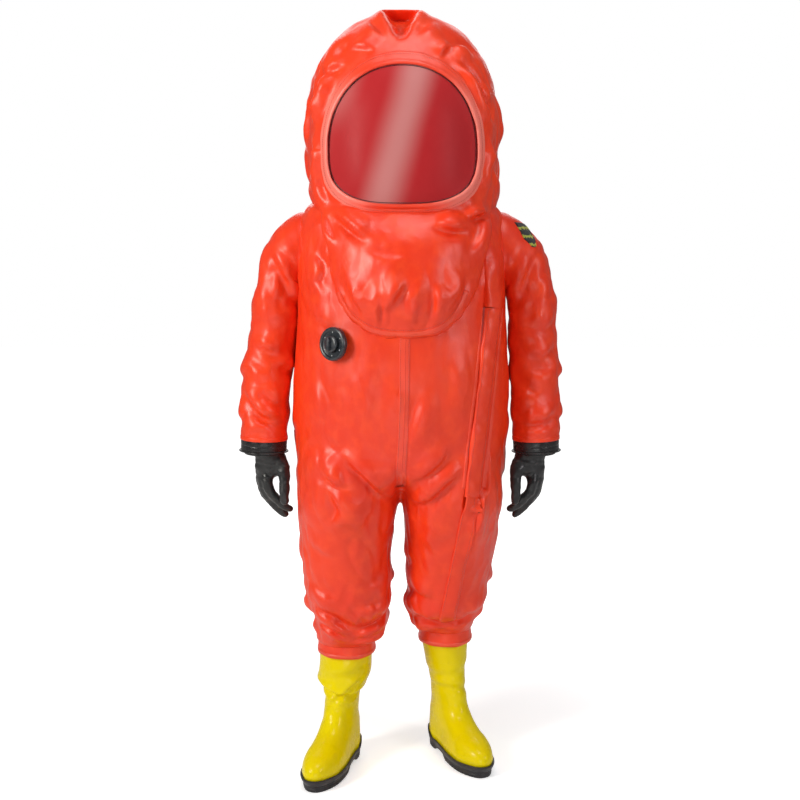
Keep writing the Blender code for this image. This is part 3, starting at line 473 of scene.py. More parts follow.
def laid(tree, line, way=(0, 1, 0), step=0.006):
    """Places, normals and directions of a line of (x, z) points laid on a surface along a way."""
    way = Vector(way)
    facing = abs(way.y) > 0.5
    starts = [(Vector((p[0], 0, p[1])) if facing else Vector((0, p[0], p[1]))) - way for p in evenly(line, step)]
    places, normals = zip(*(meet(tree, start, way) for start in starts))
    last = len(places) - 1
    for _ in range(3):
        normals = [(normals[max(0, i - 1)] + normals[i] * 2 + normals[min(last, i + 1)]).normalized()
                   for i in range(last + 1)]
    ways = [(places[min(last, i + 1)] - places[max(0, i - 1)]).normalized() for i in range(last + 1)]
    return places, normals, ways


def ribbon(name, tree, line, profile, finish, way=(0, 1, 0), step=0.006):
    """A strip laid on a surface. The profile is (across, height) from one edge to the other."""
    rings = []
    for place, normal, along in zip(*laid(tree, line, way, step)):
        across = normal.cross(along).normalized()
        ring = []
        for width, height in profile:
            hit, _, _, reach = tree.ray_cast(place + across * width + normal * 0.03, -normal)
            if hit is None or reach > 0.06:
                hit = place + across * width
            ring.append(hit + normal * height)
        rings.append(ring)
    return lofted(name, rings, finish, "suit_fabric")


def thread(middle, along, across, normal):
    """One raised stitch, thin at its ends."""
    return loft([
        [middle + along * (share * STITCH_LENGTH)
         + (across * math.cos(turn) + normal * math.sin(turn)) * STITCH_RADIUS * size for turn in turns(5)]
        for share, size in ((-0.5, 0.35), (-0.3, 1.0), (0.3, 1.0), (0.5, 0.35))
    ])


def stitching(name, tree, line, offset=0.0, lift=0.0006):
    """A row of stitches along a line."""
    threads = []
    for place, normal, along in zip(*laid(tree, line, step=STITCH_PITCH)):
        across = normal.cross(along).normalized()
        if offset:
            hit, _, _, reach = tree.ray_cast(place + across * offset + normal * 0.03, -normal)
            if hit is None or reach > 0.06:
                continue
            place = hit
        threads.append(thread(place + normal * lift, along, across, normal))
    return new_piece(name, new_mesh(name, *joined(threads), fix=False), THREAD, "suit_fabric")


def turned(name, profile, place, finish, slot_name, steps=64, closed=True):
    """A profile of (radius, height) turned about a frame's Z."""
    count = len(profile)
    points = [place @ Vector((r * math.cos(turn), r * math.sin(turn), z)) for turn in turns(steps) for r, z in profile]
    faces = []
    for k in range(steps):
        n = (k + 1) % steps
        for i in range(count if closed else count - 1):
            j = (i + 1) % count
            faces.append((k * count + i, k * count + j, n * count + j, n * count + i))
    mesh = new_mesh(name, points, faces)
    with edited(mesh) as shape:
        bmesh.ops.remove_doubles(shape, verts=shape.verts, dist=1e-5)
        bmesh.ops.recalc_face_normals(shape, faces=shape.faces)
    return new_piece(name, mesh, finish, slot_name, sharp=50)


def round_profile(corners, radius, steps=3):
    """A closed profile with each corner turned to a small round."""
    made, count = [], len(corners)
    for i, corner in enumerate(corners):
        corner = Vector(corner)
        before, after = Vector(corners[i - 1]) - corner, Vector(corners[(i + 1) % count]) - corner
        if corner.x <= 1e-6:
            made.append(tuple(corner))
            continue
        reach = min(radius, before.length * 0.45, after.length * 0.45)
        a, b = corner + before.normalized() * reach, corner + after.normalized() * reach
        made += [tuple((a.lerp(corner, t)).lerp(corner.lerp(b, t), t)) for t in (k / steps for k in range(steps + 1))]
    return made


def axes_at(point, outward):
    z = Vector(outward).normalized()
    x = Vector((0, 0, 1)).cross(z).normalized()
    place = Matrix((x, z.cross(x), z)).transposed().to_4x4()
    place.translation = point
    return place


# ---------------------------------------------------------------- materials
class Nodes:
    """A small hand for building one material's nodes."""

    def __init__(self, name, colour, roughness, metallic=0.0, coat=0.0, coat_roughness=0.1, sheen=0.0):
        self.material = bpy.data.materials.new(name)
        self.material.use_nodes = True
        self.tree = self.material.node_tree
        self.shader = self.tree.nodes["Principled BSDF"]
        self.shader.inputs["Base Color"].default_value = (*colour, 1)
        self.shader.inputs["Roughness"].default_value = roughness
        self.shader.inputs["Metallic"].default_value = metallic
        self.shader.inputs["Coat Weight"].default_value = coat
        self.shader.inputs["Coat Roughness"].default_value = coat_roughness
        self.shader.inputs["Sheen Weight"].default_value = sheen
        self.where = self.add("ShaderNodeTexCoord").outputs["Object"]

    def add(self, kind, **settings):
        node = self.tree.nodes.new(kind)
        for key, value in settings.items():
            setattr(node, key, value)
        return node

    def link(self, a, b):
        self.tree.links.new(a, b)

    def stretched(self, x, y, z):
        mapping = self.add("ShaderNodeMapping")
        self.link(self.where, mapping.inputs["Vector"])
        mapping.inputs["Scale"].default_value = (x, y, z)
        return mapping.outputs["Vector"]

    def noise(self, scale, detail=3.0, rough=0.55, where=None):
        node = self.add("ShaderNodeTexNoise")
        node.inputs["Scale"].default_value = scale
        node.inputs["Detail"].default_value = detail
        node.inputs["Roughness"].default_value = rough
        self.link(where or self.where, node.inputs["Vector"])
        return node.outputs["Fac"]

    def ramp(self, value, low, high, low_out=0.0, high_out=1.0):
        node = self.add("ShaderNodeMapRange")
        node.interpolation_type = "SMOOTHSTEP"
        for key, number in (("From Min", low), ("From Max", high), ("To Min", low_out), ("To Max", high_out)):
            node.inputs[key].default_value = number
        self.link(value, node.inputs["Value"])
        return node.outputs["Result"]

    def mix(self, share, a, b):
        node = self.add("ShaderNodeMix", data_type="RGBA")
        self.link(share, node.inputs["Factor"])
        for socket, value in ((node.inputs["A"], a), (node.inputs["B"], b)):
            if isinstance(value, tuple):
                socket.default_value = (*value, 1)
            else:
                self.link(value, socket)
        return node.outputs["Result"]

    def sum(self, a, b, operation="ADD"):
        node = self.add("ShaderNodeMath", operation=operation)
        for socket, value in ((node.inputs[0], a), (node.inputs[1], b)):
            if isinstance(value, float):
                socket.default_value = value
            else:
                self.link(value, socket)
        return node.outputs["Value"]

    def weave(self, pitch):
        """Threads running across and up: 0 between them and 1 on top."""
        total = None
        for axis in ("X", "Y", "Z"):
            wave = self.add("ShaderNodeTexWave", wave_type="BANDS", bands_direction=axis)
            wave.inputs["Scale"].default_value = 0.314 / pitch
            wave.inputs["Distortion"].default_value = 0.6
            wave.inputs["Detail Scale"].default_value = 2.0
            self.link(self.where, wave.inputs["Vector"])
            total = wave.outputs["Fac"] if total is None else self.sum(total, wave.outputs["Fac"])
        return total

    def colour(self, value):
        self.link(value, self.shader.inputs["Base Color"])

    def roughness(self, value):
        self.link(value, self.shader.inputs["Roughness"])

    def bumps(self, *layers):
        """Layers of (height, distance in metres, strength), one on the other."""
        before = None
        for height, distance, strength in layers:
            bump = self.add("ShaderNodeBump")
            bump.inputs["Distance"].default_value = distance
            bump.inputs["Strength"].default_value = strength
            self.link(height, bump.inputs["Height"])
            if before is not None:
                self.link(before, bump.inputs["Normal"])
            before = bump.outputs["Normal"]
        self.link(before, self.shader.inputs["Normal"])


def coated_fabric(name, pink=0.0, rim=None):
    """Woven cloth under a satin coat: the weave shows faintly, and the coat creases in fine lines."""
    red, deep, warm = (0.88, 0.046, 0.007), (0.82, 0.034, 0.006), (0.92, 0.058, 0.008)
    red, deep, warm = (tuple(min(1.0, c + pink * k) for c, k in zip(shade, (0.04, 0.10, 0.09)))
                       for shade in (red, deep, warm))
    nodes = Nodes(name, red, 0.38, coat=0.18, coat_roughness=0.26)
    nodes.shader.inputs["Specular IOR Level"].default_value = 0.42
    cloudy = nodes.ramp(nodes.noise(3.2, 2.0), 0.35, 0.68)
    fine = nodes.ramp(nodes.noise(30.0, 4.0), 0.40, 0.80)
    nodes.colour(nodes.mix(fine, nodes.mix(cloudy, deep, red), warm))
    if rim:
        # paler down both sides, plain over the crown and under the chin
        axes = nodes.add("ShaderNodeSeparateXYZ")
        nodes.link(nodes.where, axes.inputs[0])
        off = nodes.sum(nodes.sum(axes.outputs["X"], -VISOR["x"]), 0.0, "ABSOLUTE")
        beside = nodes.sum(nodes.ramp(off, 0.045, 0.135), nodes.ramp(axes.outputs["Z"], 1.79, 1.70), "MULTIPLY")
        plain = nodes.mix(cloudy, deep, red)
        nodes.colour(nodes.mix(beside, plain, rim))
    scuffs = nodes.noise(21.0, 5.0, 0.62)
    nodes.roughness(nodes.ramp(scuffs, 0.30, 0.72, 0.31, 0.48))
    creases = nodes.noise(34.0, 4.0, 0.60, nodes.stretched(1.0, 1.0, 0.62))
    soft = nodes.noise(11.0, 2.0, 0.5)
    nodes.bumps(
        (soft, 0.0009, 0.50),
        (creases, 0.0011, 0.50),
        (nodes.weave(0.0016), 0.00010, 0.50),
    )
    return nodes.material


def moulded_pvc(name):
    yellow, deep = (0.84, 0.69, 0.0), (0.72, 0.56, 0.0)
    nodes = Nodes(name, yellow, 0.24, coat=0.14, coat_roughness=0.08)
    nodes.shader.inputs["Specular IOR Level"].default_value = 0.14
    cloud = nodes.ramp(nodes.noise(7.0, 3.0), 0.35, 0.7)
    scuff = nodes.ramp(nodes.noise(70.0, 6.0, 0.7, nodes.stretched(1.0, 1.0, 0.35)), 0.60, 0.78)
    nodes.colour(nodes.mix(scuff, nodes.mix(cloud, yellow, (0.78, 0.63, 0.0)), deep))
    nodes.roughness(nodes.ramp(nodes.noise(28.0, 5.0, 0.65), 0.3, 0.75, 0.18, 0.38))
    nodes.bumps((nodes.noise(14.0, 2.0), 0.0012, 0.5), (nodes.noise(420.0, 2.0), 0.00016, 0.5))
    return nodes.material


def rubber(name, colour, rough=0.46, grain=520.0, dusty=(0.055, 0.055, 0.057)):
    nodes = Nodes(name, colour, rough, sheen=0.12)
    dust = nodes.ramp(nodes.noise(24.0, 5.0, 0.66), 0.46, 0.80)
    nodes.colour(nodes.mix(dust, colour, dusty))
    nodes.roughness(nodes.ramp(nodes.noise(38.0, 4.0), 0.30, 0.72, rough - 0.10, rough + 0.16))
    nodes.bumps((nodes.noise(46.0, 3.0), 0.0012, 0.5), (nodes.noise(grain, 2.0), 0.00022, 0.6))
    return nodes.material


def moulded_plastic(name, colour=(0.022, 0.026, 0.032)):
    nodes = Nodes(name, colour, 0.30, coat=0.25, coat_roughness=0.12)
    worn = nodes.ramp(nodes.noise(90.0, 6.0, 0.7), 0.58, 0.78)
    nodes.colour(nodes.mix(worn, colour, tuple(c * 2.2 + 0.006 for c in colour)))
    nodes.roughness(nodes.ramp(nodes.noise(60.0, 4.0), 0.3, 0.75, 0.20, 0.42))
    nodes.bumps((nodes.noise(900.0, 2.0), 0.00008, 0.6), (nodes.noise(120.0, 2.0), 0.0003, 0.3))
    return nodes.material


def brushed_steel(name):
    nodes = Nodes(name, (0.56, 0.57, 0.59), 0.30, metallic=1.0)
    streaks = nodes.noise(260.0, 4.0, 0.7, nodes.stretched(1.0, 1.0, 0.06))
    nodes.colour(nodes.mix(streaks, (0.46, 0.47, 0.49), (0.66, 0.67, 0.69)))
    nodes.roughness(nodes.ramp(streaks, 0.3, 0.7, 0.22, 0.42))
    nodes.bumps((streaks, 0.00012, 0.5))
    return nodes.material


def woven_tape(name, colour=(0.10, 0.10, 0.11), pitch=0.0022):
    nodes = Nodes(name, colour, 0.82, sheen=0.3)
    threads = nodes.weave(pitch)
    dark, light = (tuple(c * share for c in colour) for share in (0.5, 1.5))
    nodes.colour(nodes.mix(nodes.ramp(threads, 0.8, 2.2), dark, light))
    nodes.roughness(nodes.ramp(nodes.noise(120.0, 3.0), 0.3, 0.7, 0.72, 0.92))
    nodes.bumps((threads, 0.0003, 0.6))
    return nodes.material


def badge_cloth(name):
    """A dark badge with plain wavy bars in yellow-green thread."""
    nodes = Nodes(name, (0.012, 0.013, 0.014), 0.75, sheen=0.25)
    threads = nodes.weave(0.0012)
    rings = nodes.add("ShaderNodeTexWave", wave_type="BANDS", bands_direction="Z")
    rings.inputs["Scale"].default_value = 0.314 / 0.021
    rings.inputs["Distortion"].default_value = 1.6
    rings.inputs["Detail"].default_value = 0.0
    rings.inputs["Detail Scale"].default_value = 14.0
    nodes.link(nodes.where, rings.inputs["Vector"])
    mark = nodes.ramp(rings.outputs["Fac"], 0.74, 0.88)
    nodes.colour(nodes.mix(mark, (0.012, 0.013, 0.014), (0.42, 0.46, 0.05)))
    nodes.roughness(nodes.ramp(nodes.noise(150.0, 3.0), 0.3, 0.7, 0.62, 0.88))
    nodes.bumps((threads, 0.0002, 0.6), (mark, 0.0004, 0.5))
    return nodes.material


def clear_visor(name):
    """Tinted sheet with faint painted reflections: a broad pale diagonal band, and a second one by its upper corner,
    painted into its colour where the lights would reflect.
    """
    deep, reflection_tint = (0.50, 0.024, 0.028), (0.62, 0.235, 0.225)
    nodes = Nodes(name, deep, 0.42)
    nodes.shader.inputs["Alpha"].default_value = 0.86
    nodes.shader.inputs["Specular IOR Level"].default_value = 0.10
    # painted reflection: pale diagonal bands laid on in object space stand in for the lights' reflections in the lens
    slant = nodes.add("ShaderNodeVectorMath", operation="DOT_PRODUCT")
    nodes.link(nodes.where, slant.inputs[0])
    slant.inputs[1].default_value = (0.961, 0.0, -0.275)
    across = nodes.sum(slant.outputs["Value"], 0.449)
    across = nodes.sum(across, nodes.ramp(nodes.noise(4.0, 1.0), 0.0, 1.0, -0.012, 0.012))
    broad_reflection = nodes.ramp(nodes.sum(across, 0.0, "ABSOLUTE"), 0.068, 0.002)
    # a second, fainter painted reflection band by the upper corner, only high on the lens
    corner = nodes.ramp(nodes.sum(nodes.sum(across, 0.150), 0.0, "ABSOLUTE"), 0.050, 0.0, 0.0, 0.34)
    high = nodes.add("ShaderNodeSeparateXYZ")
    nodes.link(nodes.where, high.inputs[0])
    corner = nodes.sum(corner, nodes.ramp(high.outputs["Z"], 1.62, 1.72), "MULTIPLY")
    painted_reflections = nodes.sum(nodes.sum(broad_reflection, 0.92, "MULTIPLY"), corner, "MAXIMUM")
    nodes.colour(nodes.mix(painted_reflections, deep, reflection_tint))
    nodes.roughness(nodes.ramp(nodes.noise(17.0, 6.0, 0.7), 0.3, 0.75, 0.36, 0.46))
    nodes.bumps((nodes.noise(6.0, 2.0), 0.003, 0.35), (nodes.noise(240.0, 2.0), 0.00006, 0.4))
    return nodes.material


FABRIC = coated_fabric("suit_fabric_coated")
TAPE = coated_fabric("suit_fabric_tape", 0.22)
RIM_TAPE = coated_fabric("suit_fabric_rim", 0.1, rim=(0.92, 0.200, 0.150))
PALE_TAPE = coated_fabric("suit_fabric_weld", 0.35)
PVC = moulded_pvc("boot_pvc_moulded")
SOLE_RUBBER = rubber("sole_rubber", (0.015, 0.013, 0.016), 0.46, 360.0, (0.040, 0.034, 0.034))
GLOVE_RUBBER = rubber("glove_rubber", (0.011, 0.0115, 0.012), 0.40, dusty=(0.030, 0.030, 0.031))
CUFF_RUBBER = rubber("cuff_rubber", (0.007, 0.007, 0.008), 0.30, 700.0, (0.018, 0.018, 0.019))
PLASTIC = moulded_plastic("valve_plastic")
STEEL = brushed_steel("fitting_steel")
WEBBING = woven_tape("webbing_woven")
BADGE = badge_cloth("badge_cloth")
LENS = clear_visor("visor_sheet")
THREAD = woven_tape("seam_thread", (0.62, 0.055, 0.030), 0.0006)
CAD_FINISH = {
    "suit_fabric": FABRIC, "boot_pvc": PVC, "black_rubber": CUFF_RUBBER, "black_plastic": PLASTIC,
    "steel": STEEL, "webbing": WEBBING, "visor_clear": LENS,
}

# ---------------------------------------------------------------- camera, floor and light
def area_light(name, place, target, size, power, colour=(1, 1, 1), height=None):
    light = bpy.data.lights.new(name, "AREA")
    light.energy, light.color = power, colour
    light.shape = "RECTANGLE"
    light.size, light.size_y = size, height or size
    obj = linked(name, light)
    obj.location = place
    obj.rotation_euler = (Vector(target) - obj.location).to_track_quat("-Z", "Y").to_euler()


def build_set():
    camera = bpy.data.cameras.new("camera")
    camera.lens, camera.sensor_width = LENS_LENGTH, 36.0
    camera.clip_end = 60.0
    view = linked("camera", camera)
    view.location = CAMERA_PLACE
    view.rotation_euler = (math.radians(90 - CAMERA_DOWN), 0, 0)
    bpy.context.scene.camera = view

    reach = 14.0
    floor = bpy.data.meshes.new("floor")
    corners = [(-reach, -reach, 0), (reach, -reach, 0), (reach, reach, 0), (-reach, reach, 0)]
    floor.from_pydata(corners, [], [(0, 1, 2, 3)])
    nodes = Nodes("floor_paper", (0.86, 0.86, 0.86), 0.7)
    nodes.colour(nodes.mix(nodes.noise(3.0), (0.85, 0.85, 0.85), (0.88, 0.88, 0.88)))
    # painted brightness: the paper glows for the camera only, less near the boots and more away from them, so it runs
    # out to plain white and washes out its own shading and shadow; only the ground near the boots shows its shading
    nodes.shader.inputs["Emission Color"].default_value = (1, 1, 1, 1)
    spread = nodes.add("ShaderNodeVectorMath", operation="LENGTH")
    nodes.link(nodes.where, spread.inputs[0])
    painted_glow = nodes.ramp(spread.outputs["Value"], 0.5, 1.6, 0.50, 0.95)
    seen = nodes.add("ShaderNodeLightPath").outputs["Is Camera Ray"]
    nodes.link(nodes.sum(painted_glow, seen, "MULTIPLY"), nodes.shader.inputs["Emission Strength"])
    floor.materials.append(nodes.material)
    linked("floor", floor)

    world = bpy.data.worlds.new("studio")
    world.use_nodes = True
    sky, link = world.node_tree.nodes, world.node_tree.links.new
    back, seen = sky["Background"], sky.new("ShaderNodeBackground")
    for shade, strength in ((back, 0.17), (seen, 1.0)):
        shade.inputs["Color"].default_value = (1.0, 1.0, 1.0, 1)
        shade.inputs["Strength"].default_value = strength
    mix = sky.new("ShaderNodeMixShader")
    link(sky.new("ShaderNodeLightPath").outputs["Is Camera Ray"], mix.inputs[0])
    link(back.outputs[0], mix.inputs[1])
    link(seen.outputs[0], mix.inputs[2])
    link(mix.outputs[0], sky["World Output"].inputs["Surface"])
    bpy.context.scene.world = world
    bpy.context.scene.view_settings.view_transform = "Standard"

    area_light("key", (-2.7, -2.1, 2.3), (0, 0, 1.1), 0.8, 90, (1.0, 0.965, 0.90), 1.8)
    area_light("fill", (2.5, -2.2, 1.9), (0, 0, 1.0), 0.6, 27, (1.0, 0.95, 0.98), 1.8)
    area_light("top", (0.2, -0.9, 3.6), (0, 0, 1.4), 1.2, 22)
    area_light("behind", (0.0, 2.6, 2.6), (0, 0, 1.1), 2.4, 36)
    area_light("low", (0.0, -3.0, 0.35), (0, 0, 0.5), 1.6, 7, height=0.4)


# ---------------------------------------------------------------- the hood and its bib
# Height, left edge, right edge of the bib (as seen from in front)
BIB = [
    (1.470, -0.205, 0.228),
    (1.420, -0.190, 0.226),
    (1.381, -0.180, 0.220),
    (1.340, -0.175, 0.210),
    (1.296, -0.167, 0.198),
    (1.258, -0.156, 0.182),
    (1.223, -0.140, 0.164),
    (1.198, -0.121, 0.146),
    (1.176, -0.096, 0.124),
    (1.162, -0.068, 0.100),
    (1.153, -0.030, 0.062),
]
BIB_LIP, BIB_BULGE = 0.010, 0.046


def bib_part():
    rings = []
    for z, left, right in spline_rows(BIB, 4):
        share = clear_of(z, 1.150, 1.27) * (1 - 0.75 * clear_of(z, 1.36, 1.47))
        middle, half = (left + right) / 2, (right - left) / 2
        front_line, back_line = [], []
        for k in range(25):
            u = -1 + 2 * k / 24
            x = middle + half * math.sin(math.pi / 2 * u)
            w = abs(x - middle) / half
            lip = BIB_LIP * (1 - w ** 10) * clear_of(z, 1.145, 1.165)
            y = front_of(TORSO, x, z) - lip - BIB_BULGE * share * (1 - w * w) ** 0.9
            front_line.append((x, y, z))
            back_line.append((x * 0.94, front_of(TORSO, x, z) + 0.035 + 0.05 * (1 - w), z + 0.012))
        rings.append(front_line + back_line[::-1])
    return loft(rings)


HOOD_FOLDS = [
    # the crown: ridges either side of its dent, and the folds that run down from them
    ("front", [(-0.088, 1.918), (-0.066, 1.884), (-0.040, 1.854)], 0.009, 0.007, 1),
    ("front", [(0.090, 1.914), (0.068, 1.884), (0.046, 1.856)], 0.009, 0.005, -1),
    ("front", [(-0.132, 1.846), (-0.095, 1.848), (-0.050, 1.838)], 0.009, 0.006, -1),
    ("front", [(-0.190, 1.780), (-0.168, 1.800), (-0.126, 1.814)], 0.010, 0.008, -1),
    ("front", [(0.088, 1.818), (0.104, 1.838), (0.122, 1.856)], 0.008, 0.007, -1),
    ("front", [(0.112, 1.832), (0.151, 1.842), (0.176, 1.808)], 0.010, 0.007, 1),
    ("front", [(-0.120, 1.884), (-0.150, 1.850), (-0.176, 1.806)], 0.011, 0.005, 1),
    # beside the visor: a deep fold stands along each side of the rim
    ("front", [(-0.160, 1.802), (-0.184, 1.762), (-0.204, 1.700), (-0.211, 1.652)], 0.0080, 0.016, -1),
    ("front", [(-0.212, 1.650), (-0.204, 1.596), (-0.210, 1.544), (-0.198, 1.508)], 0.0075, 0.012, -1),
    ("front", [(-0.214, 1.764), (-0.206, 1.722), (-0.212, 1.671)], 0.008, 0.004, 1),
    ("front", [(-0.208, 1.560), (-0.196, 1.500), (-0.168, 1.458)], 0.010, 0.008, 1),
    ("front", [(0.122, 1.812), (0.166, 1.768), (0.200, 1.700), (0.232, 1.648)], 0.0085, 0.018, 1),
    ("front", [(0.192, 1.764), (0.204, 1.737), (0.224, 1.716)], 0.007, 0.005, -1),
    ("front", [(0.206, 1.640), (0.222, 1.592), (0.212, 1.550), (0.222, 1.506)], 0.0080, 0.012, 1),
    ("front", [(0.230, 1.606), (0.226, 1.560), (0.212, 1.530)], 0.007, 0.004, -1),
    ("front", [(0.152, 1.440), (0.187, 1.452), (0.222, 1.458)], 0.009, 0.011, -1),
    # under the visor and over the bib
    ("front", [(-0.166, 1.468), (-0.132, 1.438), (-0.088, 1.404), (-0.060, 1.396)], 0.011, 0.013, -1),
    ("front", [(0.078, 1.434), (0.120, 1.420), (0.172, 1.418)], 0.010, 0.013, -1),
    ("front", [(-0.196, 1.456), (-0.180, 1.410), (-0.152, 1.366)], 0.011, 0.008, 1),
    ("front", [(0.212, 1.456), (0.200, 1.400), (0.170, 1.340)], 0.012, 0.009, -1),
    ("front", [(0.018, 1.306), (-0.012, 1.262), (-0.044, 1.210)], 0.011, 0.009, 1),
    ("front", [(-0.052, 1.270), (-0.055, 1.214), (-0.050, 1.168)], 0.007, 0.006, 1),
    ("front", [(0.084, 1.290), (0.090, 1.246), (0.084, 1.190)], 0.008, 0.008, -1),
    ("front", [(-0.128, 1.306), (-0.108, 1.256), (-0.078, 1.212)], 0.010, 0.006, -1),
    ("front", [(0.152, 1.322), (0.134, 1.262), (0.108, 1.214)], 0.010, 0.006, 1),
    ("front", [(-0.100, 1.356), (-0.030, 1.338), (0.040, 1.342)], 0.013, 0.004, 1),
    ("front", [(0.046, 1.240), (0.030, 1.206), (0.036, 1.176)], 0.007, 0.004, 1),
    # at the back
    ("back", [(-0.150, 1.780), (-0.176, 1.690), (-0.168, 1.600)], 0.013, 0.008, 1),
    ("back", [(0.150, 1.770), (0.180, 1.680), (0.170, 1.590)], 0.013, 0.008, -1),
    ("back", [(-0.130, 1.560), (-0.020, 1.532), (0.110, 1.556)], 0.014, 0.010, 1),
    ("back", [(-0.170, 1.506), (-0.030, 1.488), (0.150, 1.510)], 0.012, 0.009, -1),
    ("back", [(-0.060, 1.880), (-0.030, 1.790), (-0.066, 1.700)], 0.013, 0.006, 1),
    ("back", [(0.060, 1.870), (0.036, 1.790), (0.070, 1.690)], 0.013, 0.006, -1),
    ("back", [(-0.090, 1.640), (-0.010, 1.612), (0.060, 1.630)], 0.013, 0.005, -1),
    ("left", [(-0.060, 1.760), (-0.020, 1.680), (-0.050, 1.600)], 0.013, 0.008, 1),
    ("left", [(0.060, 1.640), (0.020, 1.560), (0.050, 1.490)], 0.013, 0.008, -1),
    ("left", [(-0.120, 1.560), (-0.050, 1.520), (0.030, 1.516)], 0.012, 0.007, 1),
    ("right", [(-0.060, 1.770), (-0.010, 1.690), (-0.040, 1.600)], 0.013, 0.008, -1),
    ("right", [(0.060, 1.650), (0.010, 1.570), (0.040, 1.490)], 0.013, 0.008, 1),
    ("right", [(-0.120, 1.560), (-0.050, 1.520), (0.030, 1.512)], 0.012, 0.007, 1),
]


def settled(mesh, folds, growth, free_of, seed, waves, height, cap, worn):
    """A skin smoothed, seeded with folds, and left to buckle to its grown size."""
    cloth = Cloth(mesh)
    cloth.smooth(8)
    base = cloth.x.copy()
    free = free_of(cloth.x)
    normals = cloth.normals()
    bumps = ripple(cloth.x, waves, seed, (1.0, 1.0, 0.8)) * height
    bumps = bumps + ripple(cloth.x, waves * 0.5, seed + 1) * height * 0.3
    cloth.x = cloth.x + normals * (bumps * free)[:, None]
    press(cloth, folds, free * 0.7)
    cloth.settle(growth(base), 220, free, bend=0.17, hold=0.0045, cap=cap, base=base)
    cloth.smooth(1, 0.35)
    cloth.write()
    mesh = remade(mesh, "SUBSURF", levels=1, render_levels=1)
    cloth = Cloth(mesh)
    press(cloth, folds, free_of(cloth.x))
    cloth.smooth(2, 0.4)
    cloth.x = cloth.x + cloth.normals() * (worn(cloth.x) * free_of(cloth.x))[:, None]
    cloth.write()
    return mesh


def visor_outline(sides, above, below, count=96):
    """The outline grown by its own amount at the sides, above and below."""
    points = []
    for turn in turns(count):
        c, s = math.cos(turn), math.sin(turn)
        power = 2 / (VISOR["above"] if s > 0 else VISOR["below"])
        tall = VISOR["up"] + above if s > 0 else VISOR["down"] + below
        points.append((VISOR["x"] + (VISOR["half"] + sides) * signed_power(c, power),
                       VISOR["z"] + tall * signed_power(s, power)))
    return points


def in_visor(x, z, grow):
    u = np.abs(x - VISOR["x"]) / (VISOR["half"] + grow)
    v = (z - VISOR["z"])
    above = u ** VISOR["above"] + np.abs(v / (VISOR["up"] + grow)) ** VISOR["above"]
    below = u ** VISOR["below"] + np.abs(v / (VISOR["down"] + grow)) ** VISOR["below"]
    return np.where(v > 0, above, below)


def build_hood():
    rings = [[(x, y, z) for x, y in oval(m, w, f, b, pf, pb, 72)] for z, m, w, f, b, pf, pb in spline_rows(HOOD, 3)]
    mesh = merged([loft(rings), bib_part()], HOOD_CELL, "hood")
    plain = tree_of(mesh)

    def free_of(x):
        """Held over the visor's opening and along its rim."""
        rim = clear_of(in_visor(x[:, 0], x[:, 2], 0.0), 1.15, 1.75)
        front = clear_of(-x[:, 1], 0.02, 0.10)
        return 1 - front * (1 - rim)

    def growth(x):
        low = clear_of(1.50 - x[:, 2], 0.0, 0.08)
        return 0.016 + 0.006 * low, 0.015 + 0.005 * low

    def worn(x):
        beside = clear_of(np.abs(x[:, 0] - VISOR["x"]), 0.150, 0.200) * clear_of(x[:, 2], 1.42, 1.50)
        low = clear_of(1.34 - x[:, 2], 0.0, 0.08)
        amount = 0.0008 + 0.0013 * beside + 0.0016 * low + 0.0014 * clear_of(x[:, 1], 0.0, 0.08)
        return crumple(x, 0.072, 71, (1, 1, 1.6)) * amount

    mesh = settled(mesh, HOOD_FOLDS, growth, free_of, 11, waves=0.120, height=0.0007, cap=0.009, worn=worn)
    cloth = Cloth(mesh)
    x, y, z = cloth.x.T
    # the crown stands up in a short flat ridge, with a dent before it that narrows down to a point
    side = np.abs(x - 0.002)
    ridge = clear_of(0.078 - side, 0.0, 0.034) * clear_of(z, 1.895, 1.938)
    cloth.x[:, 2] += 0.0115 * ridge
    half = 0.008 + 0.50 * np.maximum(0.0, z - 1.858)
    dent = clear_of(1 - side / half, 0.0, 0.75) * clear_of(z, 1.856, 1.890) * clear_of(-0.006 - y, 0.0, 0.026)
    cloth.x[:, 1] += 0.056 * dent
    cloth.x[:, 2] -= 0.026 * dent * clear_of(z, 1.90, 1.93)
    lips = np.exp(-((side - half - 0.006) / 0.008) ** 2) * clear_of(z, 1.862, 1.890) * clear_of(-0.006 - y, 0.0, 0.03)
    cloth.x[:, 1] -= 0.001 * lips * (1 - clear_of(z, 1.925, 1.94))
    near = clear_of(0.100 - side, 0.0, 0.03) * clear_of(z, 1.846, 1.865)
    cloth.smooth(11, 0.5, near[:, None])
    cloth.write()
    return mesh, plain


# ---------------------------------------------------------------- the trunk and legs
HUMP = {"low": 0.950, "high": 1.450, "half": 0.180, "reach": 0.182}


def hump_part():
    rings = []
    for i in range(17):
        v = 0.5 - 0.5 * math.cos(math.pi * i / 16)
        z = HUMP["low"] + (HUMP["high"] - HUMP["low"]) * v
        rise = max(0.02, 1 - abs(2 * v - 1) ** 4) ** 0.5
        half = HUMP["half"] * (0.86 + 0.14 * rise)
        ring = []
        for turn in turns(48):
            c, s = math.cos(turn), math.sin(turn)
            depth = 0.075 + HUMP["reach"] * rise if s > 0 else 0.04
            ring.append((half * signed_power(c, 2 / 3.0), 0.085 + depth * signed_power(s, 2 / 2.9), z))
        rings.append(ring)
    return loft(rings)


def leg_part(side, sign):
    rings = []
    for z, inner, outer, front, back in spline_rows(LEGS[side], 3):
        middle, half = (inner + outer) / 2, (outer - inner) / 2
        centre, deep = (front + back) / 2, (back - front) / 2
        rings.append([
            (sign * (middle + half * signed_power(math.cos(2 * math.pi * k / 56), 2 / 2.2)),
             centre + deep * signed_power(math.sin(2 * math.pi * k / 56), 2 / 2.2), z)
            for k in range(56)
        ])
    return loft(rings[::-1])


